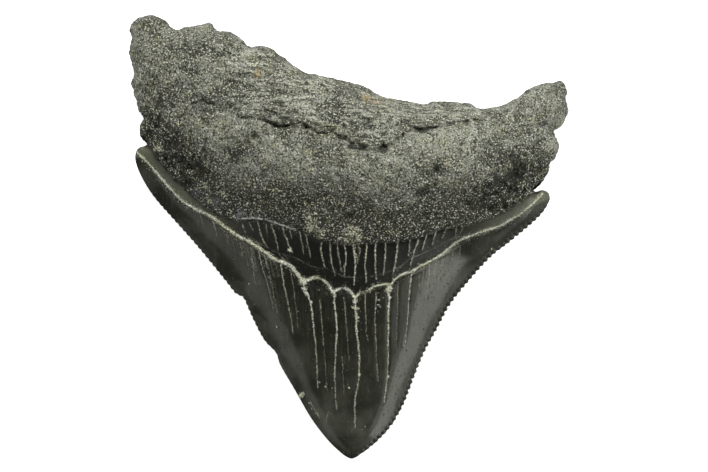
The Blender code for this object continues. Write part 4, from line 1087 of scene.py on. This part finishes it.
# %% Start the tooth's material
fossil = bpy.data.materials.new("fossil_tooth")
fossil.use_nodes = True
wire = Wiring(fossil.node_tree)
shader = fossil.node_tree.nodes["Principled BSDF"].inputs
mm_place = wire.scaled(wire.add("ShaderNodeTexCoord").outputs["Object"], (1 / MM, 1 / MM, 1 / MM))


def cloud(scale, detail, roughness):
    """Noise with about this many lumps to the millimetre."""
    return wire.noise(mm_place, scale, detail, roughness)


def place_group(group, **values):
    """Puts a node group in the material with its own values."""
    return wire.add("ShaderNodeGroup", {"Vector": mm_place, **values}, node_tree=group).outputs


def ragged_mask(name, size, amount, low, high):
    """One of the skin's masks with a ragged edge."""
    values = {"Mask": wire.mask(name), "Size": size, "Amount": amount, "Low": low, "High": high}
    return place_group(breakup_group, **values)["Mask"]


print("material:", fossil.name)

# %% [markdown]
# ## Root
#
# The root is a speckled grey with an olive cast. Smoky clouds, dark clumps and thin beds lie in the bone, and
# painted shade darkens its low places and its underside. Over that come sand, pale specks and dark pores, then
# a bluish mineral skin and rust, and last painted shade in its hollows. Each is laid over the last as a coat,
# so their order is easy to change.

# %% Mix the root's colour
ROOT_GREY, ROOT_OLIVE = (0.255, 0.265, 0.222, 1), (0.255, 0.255, 0.14, 1)
# The darkest grey is used for dark beds and clumps and also as painted shade in low places and on the
# underside.
ROOT_SMOKE, ROOT_DARK_AND_SHADE = (0.15, 0.156, 0.118, 1), (0.018, 0.019, 0.012, 1)
# The pore colour also paints shade into the hollows and shadow along the seams.
ROOT_PALE, ROOT_YELLOW, ROOT_PORE_AND_SHADE = (0.74, 0.75, 0.61, 1), (0.62, 0.61, 0.34, 1), (0.012, 0.012, 0.008, 1)
ROOT_LIGHT, ROOT_SAND = (0.48, 0.49, 0.39, 1), (0.78, 0.77, 0.54, 1)
RUST, BLUE_SKIN = (0.30, 0.20, 0.065, 1), (0.24, 0.27, 0.29, 1)
GRAIN_SIZE, BED_SIZE = 4.8, (0.28, 2.4, 2.4)
# The last three set the painted shade in low places, how dark the clumps and low places get, and the painted
# shade on the underside.
SMOKE_SHARE, MOTTLE_SHARE, CLUMP_SHARE, LOW_SHADE_SHARE, CLUMP_DIRT_AND_SHADE, PAINTED_SHADE_SHARE = 0.75, 0.5, 0.5, 0.6, 1.1, 0.97
BED_DARK, BED_LIGHT, SAND_SHARE, SAND_ON_SPECKS = 0.85, 0.6, 0.5, 0.6
SOFT_SPECKS, HARSH_SPECKS, PORE_SHARE = 0.62, 0.97, 0.92
# The last share is the painted shade in the hollows.
BLUE_SHARE, RUST_SHARE, HOLLOW_SHADE_SHARE = 0.28, 0.6, 0.8

# Where shade is painted on the root.
dim = wire.mask("dim")
broad, tint = cloud(0.35, 3.0, 0.6), cloud(0.55, 4.0, 0.75)
sand = ragged_mask("sand", 3.0, 1.2, 0.3, 0.8)
# Dark clumps of dirt, and painted shade in the bone's low places.
clumps_and_low_shade = wire.most(wire.times(wire.step(cloud(0.9, 4.0, 0.7), 0.50, 0.68), CLUMP_SHARE),
                   wire.times(wire.mask("low"), LOW_SHADE_SHARE))
harshness = wire.math("ADD", wire.math("ADD", dim, sand), clumps_and_low_shade, clamp=True)
grain = place_group(grain_group, Size=GRAIN_SIZE, Contrast=harshness)
bed = wire.noise(wire.scaled(mm_place, BED_SIZE), 1.0, 3.0, 0.6)
beds_seen = wire.mask("layered")
bone = wire.mix(wire.step(tint, 0.45, 0.7), ROOT_GREY, ROOT_OLIVE)
bone = wire.mix(wire.times(wire.step(broad, 0.46, 0.62), SMOKE_SHARE), bone, ROOT_SMOKE)
bone = wire.mix(wire.times(wire.step(grain["Mottle"], 0.0, 1.0), MOTTLE_SHARE),
                wire.mix(0.5, bone, ROOT_PORE_AND_SHADE), ROOT_LIGHT)
speck_tone = wire.mix(wire.step(tint, 0.5, 0.65), ROOT_PALE, ROOT_YELLOW)
root_tone = wire.layers(bone, [
    (wire.times(wire.step(bed, 0.52, 0.40), wire.times(beds_seen, BED_DARK)), ROOT_DARK_AND_SHADE),
    (wire.times(wire.step(bed, 0.52, 0.66), wire.times(beds_seen, BED_LIGHT)), ROOT_LIGHT),
    # Dark clumps, with painted shade in the low places.
    (wire.times(clumps_and_low_shade, CLUMP_DIRT_AND_SHADE, clamp=True), ROOT_DARK_AND_SHADE),
    # Painted shade on the underside and in the lower corners.
    (wire.times(dim, PAINTED_SHADE_SHARE), ROOT_DARK_AND_SHADE),
    (wire.times(sand, SAND_SHARE), ROOT_SAND),
    (wire.times(grain["Specks"], wire.blend(harshness, SOFT_SPECKS, HARSH_SPECKS)),
     wire.mix(wire.times(sand, SAND_ON_SPECKS), speck_tone, ROOT_SAND)),
    (wire.times(grain["Pores"], PORE_SHARE), ROOT_PORE_AND_SHADE),
    (wire.times(ragged_mask("blue", 2.5, 0.9, 0.4, 0.9), BLUE_SHARE), BLUE_SKIN),
    (wire.times(ragged_mask("rust", 4.0, 1.8, 0.5, 1.1), RUST_SHARE), RUST),
    # Painted shade in the hollows and pits.
    (wire.times(ragged_mask("hollow", 4.0, 1.2, 0.4, 0.75), HOLLOW_SHADE_SHARE), ROOT_PORE_AND_SHADE),
])
print("nodes with the root:", len(fossil.node_tree.nodes))

# %% [markdown]
# ## Cracks
#
# The cracks lie over enamel and bourlette as a chalky, yellowish film, and dark lines of painted shadow lie
# along the root's layers and furrows. Noise makes their rims ragged and lets them swell and thin out. A weak
# crack is fainter than its strength says, because a film that is thin hardly shows. Some dust lies by the neck
# line.

# %% Draw the cracks
VEIN_PALE, VEIN_YELLOW, VEIN_DARK = (0.76, 0.77, 0.65, 1), (0.60, 0.61, 0.42, 1), (0.12, 0.12, 0.085, 1)
LINE_RAGGEDNESS, SKIN_SLACK, FAINTNESS = 4.6, 0.8, 1.5
THINNEST, THICKEST = 0.5, 1.05
LINE_RIM, LINE_CORE = 0.72, 0.2
DUST_REACH, DUST_NEAR, DUST_LIFT, DUST_SHARE = 8.0, 1.0, 0.17, 0.6

swelling = wire.step(cloud(1.4, 2.0, 0.6), 0.3, 0.7, THINNEST, THICKEST)
line_shift = wire.times(wire.math("SUBTRACT", cloud(7.0, 2.0, 0.7), 0.5), LINE_RAGGEDNESS)


def drawn_line(name):
    """How much of a crack covers each place, from the skin's gap, side, width and strength."""
    across = wire.math("ABSOLUTE", wire.mask(name + "_side"))
    beyond = wire.math("SUBTRACT", wire.mask(name + "_gap"), SKIN_SLACK)
    gap = wire.math("ADD", wire.most(across, beyond), line_shift)
    width = wire.times(wire.mask(name + "_width"), swelling)
    share = wire.step(gap, wire.times(width, LINE_RIM), wire.times(width, LINE_CORE))
    return wire.times(share, wire.math("POWER", wire.mask(name + "_share"), FAINTNESS))


neck_film = drawn_line("line")
near_line = wire.step(wire.mask("line_gap"), DUST_REACH, DUST_NEAR)
dust_lift = wire.times(near_line, wire.times(wire.mask("line_share"), DUST_LIFT))
dust = wire.times(wire.step(wire.math("ADD", cloud(6.5, 1.0, 0.5), dust_lift), 0.76, 0.81), DUST_SHARE)
film = wire.most(wire.most(drawn_line("crack"), neck_film), ragged_mask("nodule", 6.0, 1.1, 0.4, 0.75))
film = wire.most(film, dust)
film_tone = wire.mix(wire.step(broad, 0.4, 0.6), VEIN_PALE, VEIN_YELLOW)
film_tone = wire.mix(wire.step(cloud(5.5, 3.0, 0.7), 0.56, 0.40), film_tone, VEIN_DARK)
print("nodes with the cracks:", len(fossil.node_tree.nodes))

# %% [markdown]
# ## Bourlette and enamel
#
# The bourlette is dull black, and olive-grey at the sides. The enamel is black and glossy, with faint upright
# streaks and a grey haze towards the tip and the edges. Painted shadow darkens the notches between the
# serrations.

# %% Mix the bourlette's and the enamel's colour
BAND_BLACK, BAND_OLIVE = (0.004, 0.004, 0.003, 1), (0.085, 0.089, 0.06, 1)
ENAMEL_BLACK, ENAMEL_GREY = (0.013, 0.013, 0.009, 1), (0.03, 0.031, 0.022, 1)
ENAMEL_HAZE = (0.065, 0.067, 0.052, 1)
STREAK_SIZE = (5.0, 0.35, 1.0)
# How dark the painted shadow in the serrations' notches gets.
NOTCH_SHADOW_SHARE = 0.3

streak = wire.noise(wire.scaled(mm_place, STREAK_SIZE), 1.0, 3.0, 0.6)
cloudy = cloud(0.5, 2.0, 0.5)
streaks_seen = wire.times(wire.step(streak, 0.4, 0.7), wire.step(cloudy, 0.35, 0.65))
haze = wire.times(wire.mask("haze"), wire.step(cloudy, 0.25, 0.6, 0.4, 1.0))
band_share = wire.mask("bourlette")
bead = wire.math("ABSOLUTE", wire.math("SINE", wire.times(wire.mask("serration"), math.pi)))
beads_left = wire.mask("serration_left")
# Painted shadow in the notches between the serrations.
notch_shadow = wire.times(wire.times(wire.step(bead, 0.7, 0.1), beads_left), NOTCH_SHADOW_SHARE)
band_tone = wire.mix(wire.mask("centre"), BAND_OLIVE, BAND_BLACK)
enamel_tone = wire.mix(streaks_seen, ENAMEL_BLACK, ENAMEL_GREY)
smooth_tone = wire.layers(enamel_tone, [(haze, ENAMEL_HAZE), (band_share, band_tone), (film, film_tone),
                                        (notch_shadow, BAND_BLACK)])
print("nodes with the enamel:", len(fossil.node_tree.nodes))

# %% [markdown]
# ## Join the finishes
#
# Root and smooth parts meet along a ragged edge, with a pale crumbly rim on part of it. Colour and
# roughness are mixed by the same masks, and bump adds what is finer than the skin's own points.

# %% Join colour, roughness and bump
RIM_WHITE = (0.80, 0.81, 0.78, 1)
# How dark the painted shadow along the seams gets.
SHADOW_SEAM_SHARE = 0.92
RIM_START, RIM_FULL = 0.02, 0.1
ENAMEL_ROUGHNESS, BAND_ROUGHNESS, BEAD_ROUGHNESS = (0.17, 0.24), 0.38, 0.45
FILM_ROUGHNESS, ROOT_ROUGHNESS = 0.8, 0.78
EVEN_GRAIN, STRIAE_RISE, STREAK_RISE, FILM_RISE = 0.7, 0.4, 0.04, 0.6
# Each bump is its strength and its height in metres.
ROOT_BUMP, BEAD_BUMP, SMOOTH_BUMP = (0.9, 0.0002), (0.6, 0.00006), (0.35, 0.00004)

root_edge = ragged_mask("root", 3.5, 1.0, 0.12, 0.42)
# Painted shadow along the root's seams.
seam = wire.times(drawn_line("seam"), wire.times(wire.step(cloud(3.5, 2.0, 0.6), 0.36, 0.52), SHADOW_SEAM_SHARE))
crumbs = wire.step(cloud(3.0, 3.0, 0.7), 0.48, 0.54)
rim = wire.times(neck_film, wire.times(wire.step(wire.mask("root"), RIM_START, RIM_FULL), crumbs))
wire.feed(shader["Base Color"], wire.layers(smooth_tone, [(root_edge, root_tone), (seam, ROOT_PORE_AND_SHADE),
                                                          (rim, RIM_WHITE)]))

roughness = wire.step(cloudy, 0.35, 0.7, *ENAMEL_ROUGHNESS)
for share, value in ((band_share, BAND_ROUGHNESS), (beads_left, BEAD_ROUGHNESS), (film, FILM_ROUGHNESS),
                     (root_edge, ROOT_ROUGHNESS)):
    roughness = wire.blend(share, roughness, value)
wire.feed(shader["Roughness"], roughness)
shader["Specular Tint"].default_value = (0.95, 0.97, 0.86, 1)

root_height = wire.times(wire.times(grain["Height"], wire.math("ADD", dim, EVEN_GRAIN)), root_edge)
streak_rise = wire.math("ADD", wire.times(wire.mask("striated"), STRIAE_RISE), STREAK_RISE)
smooth_height = wire.math("ADD", wire.times(streak, streak_rise), wire.times(film, FILM_RISE))
normal = None
for rise, (strength, distance) in ((root_height, ROOT_BUMP), (wire.times(bead, beads_left), BEAD_BUMP),
                                   (smooth_height, SMOOTH_BUMP)):
    bump = wire.add("ShaderNodeBump", {"Height": rise, "Strength": strength, "Distance": distance})
    if normal:
        wire.feed(bump.inputs["Normal"], normal)
    normal = bump.outputs["Normal"]
wire.feed(shader["Normal"], normal)
skin.data.materials.clear()
skin.data.materials.append(fossil)
print("nodes in the material:", len(fossil.node_tree.nodes))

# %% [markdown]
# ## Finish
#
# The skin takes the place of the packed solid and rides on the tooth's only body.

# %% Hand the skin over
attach(skin, "root")
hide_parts(NODE)
